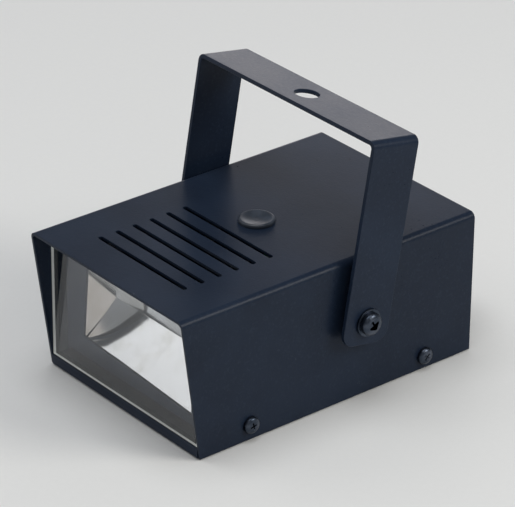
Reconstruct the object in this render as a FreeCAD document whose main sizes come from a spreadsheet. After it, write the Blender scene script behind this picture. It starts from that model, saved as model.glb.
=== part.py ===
import FreeCAD, Part
import math
import os
import re
import Sketcher
from FreeCAD import Rotation, Vector

# Small stroboscope: a folded steel case with a raked hood, a clear window over a
# mirror trough that holds a xenon flash tube, and a tilting U bracket on two screws.
# X runs to the right, Y to the rear, Z up. The origin lies in the plane the case
# stands on, midway between its sides. All lengths are in millimetres.

SIZES = {
    # common gaps
    "overrun": 1.0,
    "sheet_gap": 0.1,
    "turn_gap": 0.1,
    "screw_gap": 0.1,
    "running_gap": 0.05,
    "seat_gap": 0.05,
    # cover: one sheet folded over the top and both sides
    "cover_wide": 81.4,
    "cover_high": 52.7,
    "cover_deep": 125.0,
    "cover_rear": 60.0,
    "cover_gauge": 1.0,
    "cover_bend": 2.3,
    "cover_lift": 0.3,
    "hood_rake": 7.5,
    "slot_border": 17.45,
    "slot_wide": 1.9,
    "slot_pitch": 7.1,
    "slot_back": 15.4,
    # plug in the top
    "plug_back": 61.5,
    "plug_hole_radius": 5.4,
    "plug_cap_radius": 6.3,
    "plug_proud": 1.5,
    "plug_dish": 0.8,
    "plug_rim": 1.2,
    "plug_lip": 0.5,
    "plug_stem": 1.6,
    "plug_wall": 1.0,
    # base tray
    "tray_gauge": 1.0,
    "tray_bend": 0.8,
    "tray_recess": 1.0,
    "flange_high": 12.0,
    "lip_high": 4.0,
    "lip_proud": 0.55,
    "rear_drop": 0.3,
    # front panel
    "panel_gauge": 1.0,
    "pad_thick": 4.4,
    "hook_drop": 3.2,
    "wing_deep": 20.0,
    "wing_high": 12.0,
    "window_border": 10.7,
    "window_foot": 12.0,
    "window_tilt": 4.2,
    "window_head": 7.6,
    # clear plate
    "lens_thick": 3.0,
    "lens_recess": 0.15,
    "lens_edge": 0.35,
    "pad_high": 5.0,
    "pad_inset": 2.0,
    # reflector
    "mirror_gauge": 0.5,
    "mirror_spare": 0.75,
    "mirror_step": 1.8,
    "mirror_slope": 48.0,
    "mirror_deep": 12.5,
    "mirror_fall": 2.5,
    "mirror_rise": 0.5,
    "mirror_flange": 5.5,
    "end_plate_gauge": 0.8,
    "end_plate_margin": 2.0,
    # flash tube
    "tube_back": 5.5,
    "tube_under": 3.6,
    "tube_radius": 2.0,
    "tube_bore": 1.3,
    "tube_past": 1.75,
    "tube_end": 3.0,
    "pin_radius": 0.5,
    "pin_inside": 3.5,
    "pin_outside": 2.5,
    "electrode_radius": 0.95,
    "electrode_long": 2.5,
    "grommet_radius": 3.9,
    "grommet_neck": 3.0,
    "grommet_lip": 1.0,
    "band_wide": 2.0,
    "band_thick": 0.5,
    "wire_hole_radius": 1.4,
    # wires
    "lead_radius": 0.8,
    "lead_bend": 3.0,
    "thin_radius": 0.35,
    "thin_bend": 2.5,
    "signal_radius": 0.6,
    "signal_bend": 2.0,
    "lead_out": 4.2,
    "lead_back": 9.0,
    "lead_drop": 9.0,
    "lead_rise": 7.0,
    "lead_inset": 3.0,
    "lead_landing": 8.0,
    # circuit board
    "board_side": 7.6,
    "board_front_gap": 21.5,
    "board_rear_gap": 14.0,
    "board_thick": 1.6,
    "standoff_high": 6.0,
    "standoff_radius": 2.8,
    "board_screw_inset": 3.5,
    "board_screw_radius": 1.45,
    "board_head_radius": 2.6,
    "board_head_high": 1.7,
    "board_screw_long": 5.0,
    # parts on the board
    "reservoir_radius": 8.0,
    "reservoir_high": 30.0,
    "reservoir_round": 1.2,
    "reservoir_crimp": 0.6,
    "reservoir_pitch": 18.0,
    "reservoir_back": 21.0,
    "ballast_wide": 8.0,
    "ballast_long": 26.0,
    "ballast_edge": 5.0,
    "ballast_back": 19.0,
    "ballast_feet": 1.0,
    "ballast_round": 0.8,
    "diode_radius": 1.35,
    "diode_long": 5.0,
    "diode_pitch": 4.0,
    "diode_gap": 0.65,
    "diode_lead": 0.4,
    "diode_span": 10.0,
    "coil_back": 14.0,
    "coil_edge": 11.0,
    "coil_radius": 5.4,
    "coil_flange": 6.6,
    "coil_high": 17.0,
    "coil_flange_thick": 1.5,
    "film_wide": 11.0,
    "film_deep": 5.0,
    "film_high": 10.0,
    "film_aside": 1.0,
    "film_back": 12.0,
    "film_round": 0.6,
    "thyristor_radius": 2.4,
    "thyristor_flat": 1.2,
    "thyristor_high": 4.8,
    "thyristor_legs": 3.0,
    "thyristor_pitch": 1.27,
    "thyristor_aside": 13.0,
    "thyristor_back": 12.0,
    "leg_radius": 0.25,
    "fuse_radius": 2.6,
    "fuse_long": 20.0,
    "fuse_cap": 5.0,
    "fuse_glass_radius": 2.4,
    "fuse_edge": 6.0,
    "fuse_back": 30.0,
    "fuse_level": 6.0,
    "clip_wide": 3.0,
    "clip_gauge": 0.5,
    "clip_rise": 1.5,
    "terminal_wide": 12.0,
    "terminal_deep": 9.0,
    "terminal_high": 10.0,
    "terminal_edge": 6.0,
    "terminal_back": 7.5,
    "terminal_screw_radius": 1.4,
    "terminal_screw_long": 4.0,
    "terminal_entry_radius": 1.5,
    "terminal_entry_level": 3.2,
    "terminal_slot": 0.5,
    # rate control on the rear panel
    "knob_edge_gap": 21.6,
    "knob_level": 30.0,
    "pot_radius": 8.0,
    "pot_deep": 9.0,
    "bush_radius": 3.6,
    "bush_proud": 4.0,
    "pot_nut_flats": 10.0,
    "pot_nut_thick": 2.0,
    "shaft_radius": 3.0,
    "shaft_inside": 2.0,
    "shaft_proud": 7.0,
    "knob_radius": 8.5,
    "knob_deep": 14.0,
    "knob_gap": 0.8,
    "knob_skirt": 6.6,
    "knob_skirt_deep": 4.8,
    "knob_crown": 7.4,
    "knob_edge": 1.0,
    "knob_skirt_high": 2.6,
    "knob_grip_radius": 7.6,
    "flute_radius": 1.1,
    "flute_sink": 0.55,
    "pointer_wide": 0.9,
    "pointer_deep": 0.5,
    "tag_drop": 2.0,
    "signal_pitch": 4.0,
    "signal_inset": 2.0,
    "signal_rise": 4.5,
    # cable gland
    "gland_edge_gap": 19.6,
    "gland_level": 18.0,
    "gland_bore": 3.2,
    "gland_body": 5.9,
    "gland_flange": 8.0,
    "gland_flange_thick": 3.0,
    "gland_cap": 6.5,
    "gland_cap_deep": 6.0,
    "gland_cap_round": 1.5,
    "gland_inside": 8.0,
    "gland_nut_flats": 15.0,
    "gland_nut_thick": 5.0,
    # earth point
    "earth_edge_gap": 8.6,
    "earth_under": 13.7,
    "earth_radius": 2.0,
    "earth_head_radius": 3.9,
    "earth_head_high": 2.4,
    "earth_long": 9.0,
    "earth_nut_flats": 7.0,
    "earth_nut_thick": 3.2,
    "tag_radius": 3.9,
    "tag_thick": 0.8,
    "tag_wide": 4.0,
    "tag_long": 8.0,
    "earth_wire_bend": 3.0,
    # side screws
    "side_front_back": 28.2,
    "side_front_level": 5.9,
    "side_rear_ahead": 21.1,
    "side_rear_level": 5.2,
    "side_radius": 1.5,
    "side_head_radius": 3.0,
    "side_head_high": 1.9,
    "side_long": 7.5,
    "side_nut_flats": 5.5,
    "side_nut_thick": 2.4,
    # bracket and its pivots
    "pivot_ahead": 51.1,
    "pivot_level": 30.3,
    "bracket_lean": 9.6,
    "spacer_thick": 3.1,
    "bracket_gauge": 1.5,
    "bracket_wide": 19.6,
    "bracket_reach": 64.1,
    "bracket_bend": 2.6,
    "leg_under": 8.2,
    "leg_corner": 5.0,
    "bracket_hole_radius": 4.3,
    "pivot_radius": 2.0,
    "pivot_head_radius": 4.0,
    "pivot_head_high": 2.5,
    "pivot_washer_radius": 4.9,
    "pivot_washer_thick": 0.8,
    "pivot_spacer_radius": 4.6,
    "pivot_nut_flats": 7.0,
    "pivot_nut_thick": 3.2,
    "pivot_spare": 1.6,
}

# Places and sizes that follow from the ones above: each name stands for its formula.
PLACES = {
    "cover_front": "cover_rear - cover_deep",
    "cover_inner": "cover_wide / 2 - cover_gauge",
    "roof": "cover_high - cover_gauge",
    "slot_run": "cover_wide - 2 * slot_border",
    "slot_first": "cover_front + slot_back",
    "plug_place": "cover_rear - plug_back",
    "tray_half": "cover_inner - sheet_gap",
    "rear_face": "cover_rear - tray_recess",
    "rear_inner": "rear_face - tray_gauge",
    "lip_front": "cover_front + hood_rake - lip_proud",
    "lens_front": "lip_front + lens_recess",
    "lens_back": "lens_front + lens_thick",
    "panel_front": "lens_back + pad_thick",
    "panel_back": "panel_front + panel_gauge",
    "panel_top": "roof - sheet_gap",
    "hook_front": "lens_front - seat_gap - panel_gauge",
    "wing_outer": "tray_half - tray_gauge - sheet_gap",
    "window_half": "cover_inner - window_border",
    "window_top": "panel_top - window_head",
    "mirror_half": "window_half + mirror_spare",
    "mirror_front": "panel_back + sheet_gap",
    "mirror_back": "mirror_front + mirror_deep",
    "mirror_foot": "window_foot + mirror_step",
    "mirror_corner": "mirror_foot + mirror_deep * tan(mirror_slope)",
    "mirror_roof": "window_top + mirror_rise",
    "mirror_top": "mirror_roof - mirror_fall",
    "end_plate_inner": "mirror_half + seat_gap",
    "tube_half": "end_plate_inner + end_plate_gauge + tube_past",
    "tube_place": "mirror_back - tube_back",
    "tube_level": "mirror_top - tube_under",
    "board_under": "tray_gauge + standoff_high",
    "board_top": "board_under + board_thick",
    "board_half": "tray_half - tray_gauge - board_side",
    "board_front": "panel_back + board_front_gap",
    "board_rear": "rear_inner - board_rear_gap",
    "reservoir_place": "board_rear - reservoir_back",
    "ballast_middle": "board_half - ballast_edge",
    "ballast_place": "board_rear - ballast_back",
    "diode_last": "reservoir_place - reservoir_pitch / 2 - reservoir_radius - diode_gap - diode_radius",
    "coil_middle": "board_half - coil_edge",
    "coil_place": "board_front + coil_back",
    "film_middle": "-film_aside",
    "film_place": "board_front + film_back",
    "thyristor_middle": "-thyristor_aside",
    "thyristor_place": "board_front + thyristor_back",
    "fuse_middle": "fuse_edge - board_half",
    "fuse_place": "board_rear - fuse_back",
    "terminal_middle": "terminal_edge - board_half",
    "terminal_rear": "board_rear - terminal_back",
    "knob_middle": "tray_half - knob_edge_gap",
    "gland_middle": "gland_edge_gap - tray_half",
    "earth_middle": "earth_edge_gap - tray_half",
    "earth_level": "roof - earth_under",
    "side_front_place": "cover_front + side_front_back",
    "side_rear_place": "cover_rear - side_rear_ahead",
    "pivot_place": "cover_rear - pivot_ahead",
    "leg_inner": "cover_wide / 2 + spacer_thick + turn_gap",
    "bracket_half": "leg_inner + bracket_gauge",
}

# Outline of a domed screw head: shares of its radius and of its height.
HEAD_SHARES = ((1, 0), (1, 0.45), (0.93, 0.72), (0.76, 0.92), (0.5, 1), (0, 1))
# Cross recess: reach and width of an arm as shares of the head's radius, and depth as a share
# of its height.
RECESS_REACH_SHARE = 0.62
RECESS_WIDE_SHARE = 0.2
RECESS_DEEP_SHARE = 0.6
SLOT_COUNT = 6
DIODE_COUNT = 4
FLUTE_COUNT = 16
SIGNAL_COUNT = 3

doc = FreeCAD.newDocument("stroboscope")
sheet = doc.addObject("Spreadsheet::Sheet", "dims")
for row, (alias, number) in enumerate(SIZES.items(), start=1):
    sheet.set(f"A{row}", alias)
    sheet.set(f"B{row}", str(number))
    sheet.setAlias(f"B{row}", alias)
doc.recompute()

subparts = []


# Formulas

def formula(text):
    # Names of sizes are looked up in the sheet, and names of places stand for their formulas.
    def spelled(word):
        if word[0] in PLACES:
            return f"({formula(PLACES[word[0]])})"
        return f"dims.{word[0]}" if word[0] in SIZES else word[0]
    return re.sub(r"[a-z_]+", spelled, str(text))


def value(text):
    return float(sheet.evalExpression(formula(text)))


def bind(item, places):
    for path, text in places.items():
        item.setExpression(path, formula(text))


def opposite(text):
    return f"-({text})"


def mirrored(side, near, far):
    # The stretch from near to far on the right, or its mirror image on the left.
    if side > 0:
        return near, far
    return opposite(far), opposite(near)


def keep(item, label):
    item.Label = label
    subparts.append(item)
    return item


# Solids from primitives

TURNS = {
    "x": Rotation(Vector(0, 1, 0), 90),
    "y": Rotation(Vector(1, 0, 0), -90),
    "z": Rotation(),
    "-x": Rotation(Vector(0, 1, 0), -90),
    "-y": Rotation(Vector(1, 0, 0), 90),
}


def place(item, turn, spot):
    item.Placement.Rotation = TURNS[turn]
    bind(item, {f"Placement.Base.{axis}": text for axis, text in zip("xyz", spot)})
    return item


def block(name, across, along, up):
    item = doc.addObject("Part::Box", name)
    bind(item, {
        "Length": f"{across[1]} - ({across[0]})",
        "Width": f"{along[1]} - ({along[0]})",
        "Height": f"{up[1]} - ({up[0]})",
    })
    return place(item, "z", (across[0], along[0], up[0]))


def rod(name, axis, spot, length, radius):
    item = doc.addObject("Part::Cylinder", name)
    bind(item, {"Radius": radius, "Height": length})
    return place(item, axis, spot)


def hexagon(name, axis, spot, length, flats):
    item = doc.addObject("Part::Prism", name)
    item.Polygon = 6
    bind(item, {"Circumradius": f"{flats} / 2 / cos(30)", "Height": length})
    return place(item, axis, spot)


def fuse(name, *items):
    item = doc.addObject("Part::MultiFuse", name)
    item.Shapes = list(items)
    item.Refine = True
    return item


def cut(name, base, *tools):
    item = doc.addObject("Part::Cut", name)
    item.Base = base
    item.Tool = tools[0] if len(tools) == 1 else fuse(f"{name}_tools", *tools)
    return item


def group(label, items):
    item = doc.addObject("Part::Compound", label)
    item.Links = list(items)
    return keep(item, label)


def soften(name, base, radius, chosen):
    doc.recompute()
    item = doc.addObject("Part::Fillet", name)
    item.Base = base
    size = value(radius)
    item.Edges = [
        (count, size, size) for count, edge in enumerate(base.Shape.Edges, start=1) if chosen(edge)
    ]
    return item


# Solids from sketches

def start(name):
    return doc.addObject("PartDesign::Body", name)


def origin_item(body, role):
    return next(item for item in body.Origin.OriginFeatures if item.Role == role)


def sketch_on(body, name, role, offset=None):
    sketch = body.newObject("Sketcher::SketchObject", name)
    sketch.AttachmentSupport = [(origin_item(body, role), "")]
    sketch.MapMode = "FlatFace"
    if offset:
        # The front-to-back plane faces the front, so its offset runs against Y.
        text = opposite(offset) if role == "XZ_Plane" else offset
        bind(sketch, {"AttachmentOffset.Base.z": text})
    return sketch


def hold(sketch, kind, geometry, point, text):
    count = sketch.addConstraint(Sketcher.Constraint(kind, -1, 1, geometry, point, value(text)))
    bind(sketch, {f"Constraints[{count}]": text})


def polygon(sketch, corners):
    spots = [Vector(value(x), value(y), 0) for x, y in corners]
    lines = []
    for first, second in zip(spots, spots[1:] + spots[:1]):
        lines.append(sketch.addGeometry(Part.LineSegment(first, second)))
    for first, second in zip(lines, lines[1:] + lines[:1]):
        sketch.addConstraint(Sketcher.Constraint("Coincident", first, 2, second, 1))
    for line, (x, y) in zip(lines, corners):
        hold(sketch, "DistanceX", line, 1, x)
        hold(sketch, "DistanceY", line, 1, y)


def rectangle(sketch, low, high):
    polygon(sketch, (low, (high[0], low[1]), high, (low[0], high[1])))


def circle(sketch, x, y, radius):
    spot = Vector(value(x), value(y), 0)
    ring = sketch.addGeometry(Part.Circle(spot, Vector(0, 0, 1), value(radius)))
    hold(sketch, "DistanceX", ring, 3, x)
    hold(sketch, "DistanceY", ring, 3, y)
    count = sketch.addConstraint(Sketcher.Constraint("Radius", ring, value(radius)))
    bind(sketch, {f"Constraints[{count}]": radius})


def long_hole(sketch, y, half_run, half_wide):
    # A straight slot along X with round ends, centred on X zero.
    reach = value(f"{half_run} - {half_wide}")
    radius = value(half_wide)
    level = value(y)
    ends = []
    for side in (-1, 1):
        centre = Vector(side * reach, level, 0)
        turn = Part.Circle(centre, Vector(0, 0, 1), radius)
        begin = -side * math.pi / 2
        ends.append(sketch.addGeometry(Part.ArcOfCircle(turn, begin, begin + math.pi)))
    left, right = ends
    upper = sketch.addGeometry(Part.LineSegment(
        Vector(-reach, level + radius, 0), Vector(reach, level + radius, 0)))
    lower = sketch.addGeometry(Part.LineSegment(
        Vector(-reach, level - radius, 0), Vector(reach, level - radius, 0)))
    sketch.addConstraint(Sketcher.Constraint("Tangent", left, 1, upper, 1))
    sketch.addConstraint(Sketcher.Constraint("Tangent", left, 2, lower, 1))
    sketch.addConstraint(Sketcher.Constraint("Tangent", right, 2, upper, 2))
    sketch.addConstraint(Sketcher.Constraint("Tangent", right, 1, lower, 2))
    sketch.addConstraint(Sketcher.Constraint("Equal", left, right))
    hold(sketch, "DistanceX", left, 3, f"-({half_run} - {half_wide})")
    hold(sketch, "DistanceX", right, 3, f"{half_run} - {half_wide}")
    hold(sketch, "DistanceY", left, 3, y)
    hold(sketch, "DistanceY", right, 3, y)
    count = sketch.addConstraint(Sketcher.Constraint("Radius", left, radius))
    bind(sketch, {f"Constraints[{count}]": half_wide})


def pad(body, sketch, length, middle=False):
    item = body.newObject("PartDesign::Pad", f"{sketch.Name}_pad")
    item.Profile = sketch
    item.Midplane = middle
    bind(item, {"Length": length})
    return item


def pocket(body, sketch):
    # Cuts both ways through all there is.
    item = body.newObject("PartDesign::Pocket", f"{sketch.Name}_cut")
    item.Profile = sketch
    item.Type = "ThroughAll"
    item.Midplane = True
    return item


def bend(body, feature, radius, chosen):
    doc.recompute()
    names = [f"Edge{count}" for count, edge in enumerate(feature.Shape.Edges, start=1) if chosen(edge)]
    item = body.newObject("PartDesign::Fillet", f"{feature.Name}_bend")
    item.Base = (feature, names)
    bind(item, {"Radius": radius})
    return item


def along_y(x, z):
    # Picks the edges that run front to back at a distance x from the middle and a height z.
    def chosen(edge):
        spot = edge.CenterOfMass
        straight = abs(edge.tangentAt(edge.FirstParameter).y) > 0.99
        return straight and near(abs(spot.x), x) and near(spot.z, z)
    return chosen


def near(first, second):
    return abs(first - second) < value("sheet_gap") / 100


def turned(name, corners):
    # A body of revolution about Z from corners given as radius and height.
    body = start(name)
    outline = sketch_on(body, f"{name}_outline", "XZ_Plane")
    polygon(outline, corners)
    item = body.newObject("PartDesign::Revolution", f"{name}_turning")
    item.Profile = outline
    item.ReferenceAxis = (outline, ["V_Axis"])
    item.Angle = 360
    return body


def pan_screw(name, radius, head, high, length):
    # The head stands on the plane Z zero and the shank hangs below it.
    dome = [(f"{head} * {wide}", f"{high} * {up}") for wide, up in HEAD_SHARES]
    foot = [("0", opposite(length)), (radius, opposite(length)), (radius, "0")]
    body = turned(name, foot + dome)
    reach = f"{head} * {RECESS_REACH_SHARE}"
    half = f"{head} * {RECESS_WIDE_SHARE} / 2"
    cross = (
        (half, half), (half, reach), (opposite(half), reach), (opposite(half), half),
        (opposite(reach), half), (opposite(reach), opposite(half)),
        (opposite(half), opposite(half)), (opposite(half), opposite(reach)),
        (half, opposite(reach)), (half, opposite(half)), (reach, opposite(half)), (reach, half),
    )
    recess = sketch_on(body, f"{name}_recess", "XY_Plane", high)
    polygon(recess, cross)
    item = body.newObject("PartDesign::Pocket", f"{name}_recess_cut")
    item.Profile = recess
    bind(item, {"Length": f"{high} * {RECESS_DEEP_SHARE}"})
    return body


def nut(name, axis, spot, thick, flats, radius):
    blank = hexagon(f"{name}_blank", axis, spot, thick, flats)
    hole = rod(f"{name}_hole", axis, spot, thick, f"{radius} + running_gap")
    return cut(name, blank, hole)


def washer(name, axis, spot, thick, outer, inner):
    disc = rod(f"{name}_disc", axis, spot, thick, outer)
    hole = rod(f"{name}_hole", axis, spot, thick, inner)
    return cut(name, disc, hole)


def wire(name, stations, radius, turn):
    # A round wire along straight runs joined by tangent arcs.
    points = [Vector(*[value(text) for text in station]) for station in stations]
    size = value(turn)
    edges = []
    begin = points[0]
    for before, corner, after in zip(points, points[1:], points[2:]):
        into = (corner - before).normalize()
        away = (after - corner).normalize()
        half = into.getAngle(away) / 2
        reach = size * math.tan(half)
        first = corner - into * reach
        last = corner + away * reach
        crest = corner + (away - into).normalize() * (size / math.cos(half) - size)
        edges.append(Part.LineSegment(begin, first).toShape())
        edges.append(Part.Arc(first, crest, last).toShape())
        begin = last
    edges.append(Part.LineSegment(begin, points[-1]).toShape())
    path = Part.Wire(edges)
    ring = Part.Wire(Part.Circle(points[0], points[1] - points[0], value(radius)).toShape())
    item = doc.addObject("Part::Feature", name)
    item.Shape = path.makePipeShell([ring], True, False)
    share = item.Shape.Volume / (math.pi * value(radius) ** 2 * path.Length)
    print(f"{name}: {path.Length:.1f} mm long, volume share {share:.4f}")
    return item


# Case

def make_cover():
    body = start("cover")
    outline = sketch_on(body, "cover_outline", "XZ_Plane", "cover_rear")
    rectangle(outline, ("-cover_wide / 2", "cover_lift"), ("cover_wide / 2", "cover_high"))
    blank = pad(body, outline, "cover_deep")
    bend(body, blank, "cover_bend", along_y(value("cover_wide / 2"), value("cover_high")))
    hollow = sketch_on(body, "cover_hollow", "XZ_Plane")
    rectangle(hollow, (opposite("cover_inner"), "cover_lift - overrun"), ("cover_inner", "roof"))
    opened = pocket(body, hollow)
    bend(body, opened, "cover_bend - cover_gauge", along_y(value("cover_inner"), value("roof")))
    rake = sketch_on(body, "cover_rake", "YZ_Plane")
    slope = "(hood_rake * overrun / cover_high)"
    polygon(rake, (
        (f"cover_front - {slope}", "cover_high + overrun"),
        ("cover_front - hood_rake", "cover_high + overrun"),
        ("cover_front - hood_rake", "-overrun"),
        (f"cover_front + hood_rake + {slope}", "-overrun"),
    ))
    pocket(body, rake)
    slot = sketch_on(body, "cover_slot", "XY_Plane")
    long_hole(slot, "slot_first", "slot_run / 2", "slot_wide / 2")
    first_slot = pocket(body, slot)
    row = body.newObject("PartDesign::LinearPattern", "cover_slots")
    row.Originals = [first_slot]
    row.Direction = (origin_item(body, "Y_Axis"), [""])
    bind(row, {"Length": f"slot_pitch * {SLOT_COUNT - 1}"})
    row.Occurrences = SLOT_COUNT
    body.Tip = row
    holes = sketch_on(body, "cover_plug_hole", "XY_Plane")
    circle(holes, "0", "plug_place", "plug_hole_radius")
    pocket(body, holes)
    sides = sketch_on(body, "cover_side_holes", "YZ_Plane")
    circle(sides, "pivot_place", "pivot_level", "pivot_radius + screw_gap")
    circle(sides, "side_front_place", "side_front_level", "side_radius + screw_gap")
    circle(sides, "side_rear_place", "side_rear_level", "side_radius + screw_gap")
    body.Tip = pocket(body, sides)
    return keep(body, "cover_shell")


def make_tray():
    body = start("tray")
    floor = sketch_on(body, "tray_floor", "XY_Plane")
    rectangle(floor, (opposite("tray_half"), "lip_front"), ("tray_half", "rear_face"))
    pad(body, floor, "tray_gauge")
    flanges = sketch_on(body, "tray_flanges", "XY_Plane")
    for side in (-1, 1):
        across = mirrored(side, "tray_half - tray_gauge", "tray_half")
        rectangle(flanges, (across[0], "mirror_front"), (across[1], "rear_face"))
    pad(body, flanges, "flange_high")
    lip = sketch_on(body, "tray_lip", "XY_Plane")
    rectangle(lip, (opposite("tray_half"), "lip_front"), ("tray_half", "lip_front + tray_gauge"))
    pad(body, lip, "lip_high")
    rear = sketch_on(body, "tray_rear", "XY_Plane")
    rectangle(rear, (opposite("tray_half"), "rear_inner"), ("tray_half", "rear_face"))
    standing = pad(body, rear, "roof - rear_drop")
    corners = along_y(value("tray_half"), value("roof - rear_drop"))
    standing = bend(body, standing, "cover_bend", corners)

    def lowest(edge):
        box = edge.BoundBox
        return near(box.ZMax, 0) and near(box.ZMin, 0)
    bend(body, standing, "tray_bend", lowest)
    sides = sketch_on(body, "tray_side_holes", "YZ_Plane")
    circle(sides, "side_front_place", "side_front_level", "side_radius + screw_gap")
    circle(sides, "side_rear_place", "side_rear_level", "side_radius + screw_gap")
    pocket(body, sides)
    entries = sketch_on(body, "tray_rear_holes", "XZ_Plane")
    circle(entries, "knob_middle", "knob_level", "bush_radius + screw_gap")
    circle(entries, "gland_middle", "gland_level", "gland_body + screw_gap")
    circle(entries, "earth_middle", "earth_level", "earth_radius + screw_gap")
    body.Tip = pocket(body, entries)
    return keep(body, "base_tray")


def make_front_panel():
    body = start("panel")
    fold = sketch_on(body, "panel_fold", "YZ_Plane")
    foot = "tray_gauge + sheet_gap"
    under = "panel_top - panel_gauge"
    polygon(fold, (
        ("panel_front", foot),
        ("panel_back", foot),
        ("panel_back", "panel_top"),
        ("hook_front", "panel_top"),
        ("hook_front", "panel_top - hook_drop"),
        ("hook_front + panel_gauge", "panel_top - hook_drop"),
        ("hook_front + panel_gauge", under),
        ("panel_front", under),
    ))
    pad(body, fold, "2 * wing_outer", middle=True)
    wings = sketch_on(body, "panel_wings", "XY_Plane", foot)
    for side in (-1, 1):
        across = mirrored(side, "wing_outer - panel_gauge", "wing_outer")
        rectangle(wings, (across[0], "panel_front"), (across[1], "panel_back + wing_deep"))
    pad(body, wings, "wing_high - tray_gauge")
    opening = sketch_on(body, "panel_window", "XZ_Plane")
    # The opening is out of square: its foot falls to the right and its left side leans in.
    polygon(opening, (
        ("-window_half", "window_foot + window_half * tan(window_tilt)"),
        ("window_half", "window_foot - window_half * tan(window_tilt)"),
        ("window_half", "window_top"),
        ("(window_top - window_foot) * tan(window_tilt) - window_half", "window_top"),
    ))
    pocket(body, opening)
    sides = sketch_on(body, "panel_wing_holes", "YZ_Plane")
    circle(sides, "side_front_place", "side_front_level", "side_radius + screw_gap")
    body.Tip = pocket(body, sides)
    return keep(body, "front_panel")


def make_lens():
    half = "(cover_inner - sheet_gap - screw_gap)"
    # The plate stands on the edge of the lip.
    low = "lip_high + seat_gap"
    high = "panel_top - panel_gauge - sheet_gap"
    plate = block("lens_plate", (opposite(half), half), ("lens_front", "lens_back"), (low, high))
    front = value("lens_front")

    def front_edge(edge):
        box = edge.BoundBox
        return near(box.YMin, front) and near(box.YMax, front)
    return keep(soften("lens", plate, "lens_edge", front_edge), "window_lens")


def make_lens_pads():
    half = "(wing_outer - pad_inset)"
    along = ("lens_back + seat_gap", "panel_front - seat_gap")
    top = "(panel_top - panel_gauge - sheet_gap)"
    strips = [
        block("lower_pad", (opposite(half), half), along, ("tray_gauge + seat_gap", "tray_gauge + pad_high")),
        block("upper_pad", (opposite(half), half), along, (f"{top} - pad_high", top)),
    ]
    return group("window_pads", strips)


def make_hole_plug():
    wall = "plug_wall"
    stem = "plug_hole_radius - sheet_gap"
    under = opposite("cover_gauge + sheet_gap")
    foot = f"{under} - plug_stem"
    body = turned("plug", (
        ("0", "plug_proud - plug_dish"),
        ("plug_cap_radius - plug_rim - plug_rim", "plug_proud - plug_dish"),
        ("plug_cap_radius - plug_rim", "plug_proud"),
        ("plug_cap_radius - plug_rim / 2", "plug_proud"),
        ("plug_cap_radius", "plug_proud / 2"),
        ("plug_cap_radius", "0"),
        (stem, "0"),
        (stem, under),
        (f"{stem} + plug_lip", f"{under} - plug_lip"),
        (stem, foot),
        (f"{stem} - {wall}", foot),
        (f"{stem} - {wall}", "-plug_proud + plug_dish"),
        ("0", "-plug_proud + plug_dish"),
    ))
    place(body, "z", ("0", "plug_place", "cover_high"))
    return keep(body, "hole_plug")


# Lamp

def make_trough():
    # Lower wall slants up and back, then a short rear wall and a roof that opens forward.
    body = start("trough")
    fold = sketch_on(body, "trough_fold", "YZ_Plane")
    skin = "mirror_gauge"
    drop = f"({skin} / cos(mirror_slope))"
    outer = f"(mirror_back + {skin})"
    roof_slope = "((mirror_roof - mirror_top) / mirror_deep)"
    polygon(fold, (
        ("mirror_front", "mirror_foot - mirror_flange"),
        ("mirror_front", "mirror_foot"),
        ("mirror_back", "mirror_corner"),
        ("mirror_back", "mirror_top"),
        ("mirror_front", "mirror_roof"),
        ("mirror_front", "mirror_roof + mirror_flange"),
        (f"mirror_front + {skin}", "mirror_roof + mirror_flange"),
        (f"mirror_front + {skin}", f"mirror_roof + {skin}"),
        (outer, f"mirror_top + {skin} - {skin} * {roof_slope}"),
        (outer, f"mirror_corner + {skin} * tan(mirror_slope) - {drop}"),
        (f"mirror_front + {skin}", f"mirror_foot + {skin} * tan(mirror_slope) - {drop}"),
        (f"mirror_front + {skin}", "mirror_foot - mirror_flange"),
    ))
    pad(body, fold, "2 * mirror_half", middle=True)
    hole = sketch_on(body, "trough_wire_hole", "XZ_Plane")
    circle(hole, "0", "tube_level", "wire_hole_radius")
    body.Tip = pocket(body, hole)
    return keep(body, "reflector_trough")


def make_end_plates():
    plates = []
    margin = "end_plate_margin"
    for side in (-1, 1):
        body = start("end_plate")
        across = mirrored(side, "end_plate_inner", "end_plate_inner + end_plate_gauge")
        face = sketch_on(body, "end_plate_face", "YZ_Plane", across[0])
        polygon(face, (
            ("mirror_front", f"mirror_foot - {margin}"),
            (f"mirror_front + {margin}", f"mirror_foot - {margin}"),
            (f"mirror_back + {margin}", f"mirror_corner - {margin}"),
            (f"mirror_back + {margin}", f"mirror_top + {margin}"),
            ("mirror_front", f"mirror_roof + {margin}"),
        ))
        circle(face, "tube_place", "tube_level", "grommet_neck + sheet_gap")
        body.Tip = pad(body, face, "end_plate_gauge")
        plates.append(body)
    return group("reflector_end_plates", plates)


def make_tube():
    spot = (opposite("tube_half"), "tube_place", "tube_level")
    inside = (opposite("(tube_half - tube_end)"), "tube_place", "tube_level")
    glass = rod("tube_glass", "x", spot, "2 * tube_half", "tube_radius")
    hollow = rod("tube_hollow", "x", inside, "2 * (tube_half - tube_end)", "tube_bore")
    seal = rod("tube_pin_way", "x", spot, "2 * tube_half", "pin_radius")
    return keep(cut("tube", glass, hollow, seal), "xenon_tube")


def make_electrodes():
    ends = []
    for side in (-1, 1):
        tip = mirrored(side, "tube_half - tube_end - pin_inside", "tube_half + pin_outside")
        pin = rod("pin", "x", (tip[0], "tube_place", "tube_level"), f"{tip[1]} - ({tip[0]})", "pin_radius")
        bead = mirrored(side, "tube_half - tube_end - pin_inside", "tube_half - tube_end - pin_inside + electrode_long")
        slug = rod("slug", "x", (bead[0], "tube_place", "tube_level"), "electrode_long", "electrode_radius")
        ends.append(fuse("electrode", pin, slug))
    return group("tube_electrodes", ends)


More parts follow.
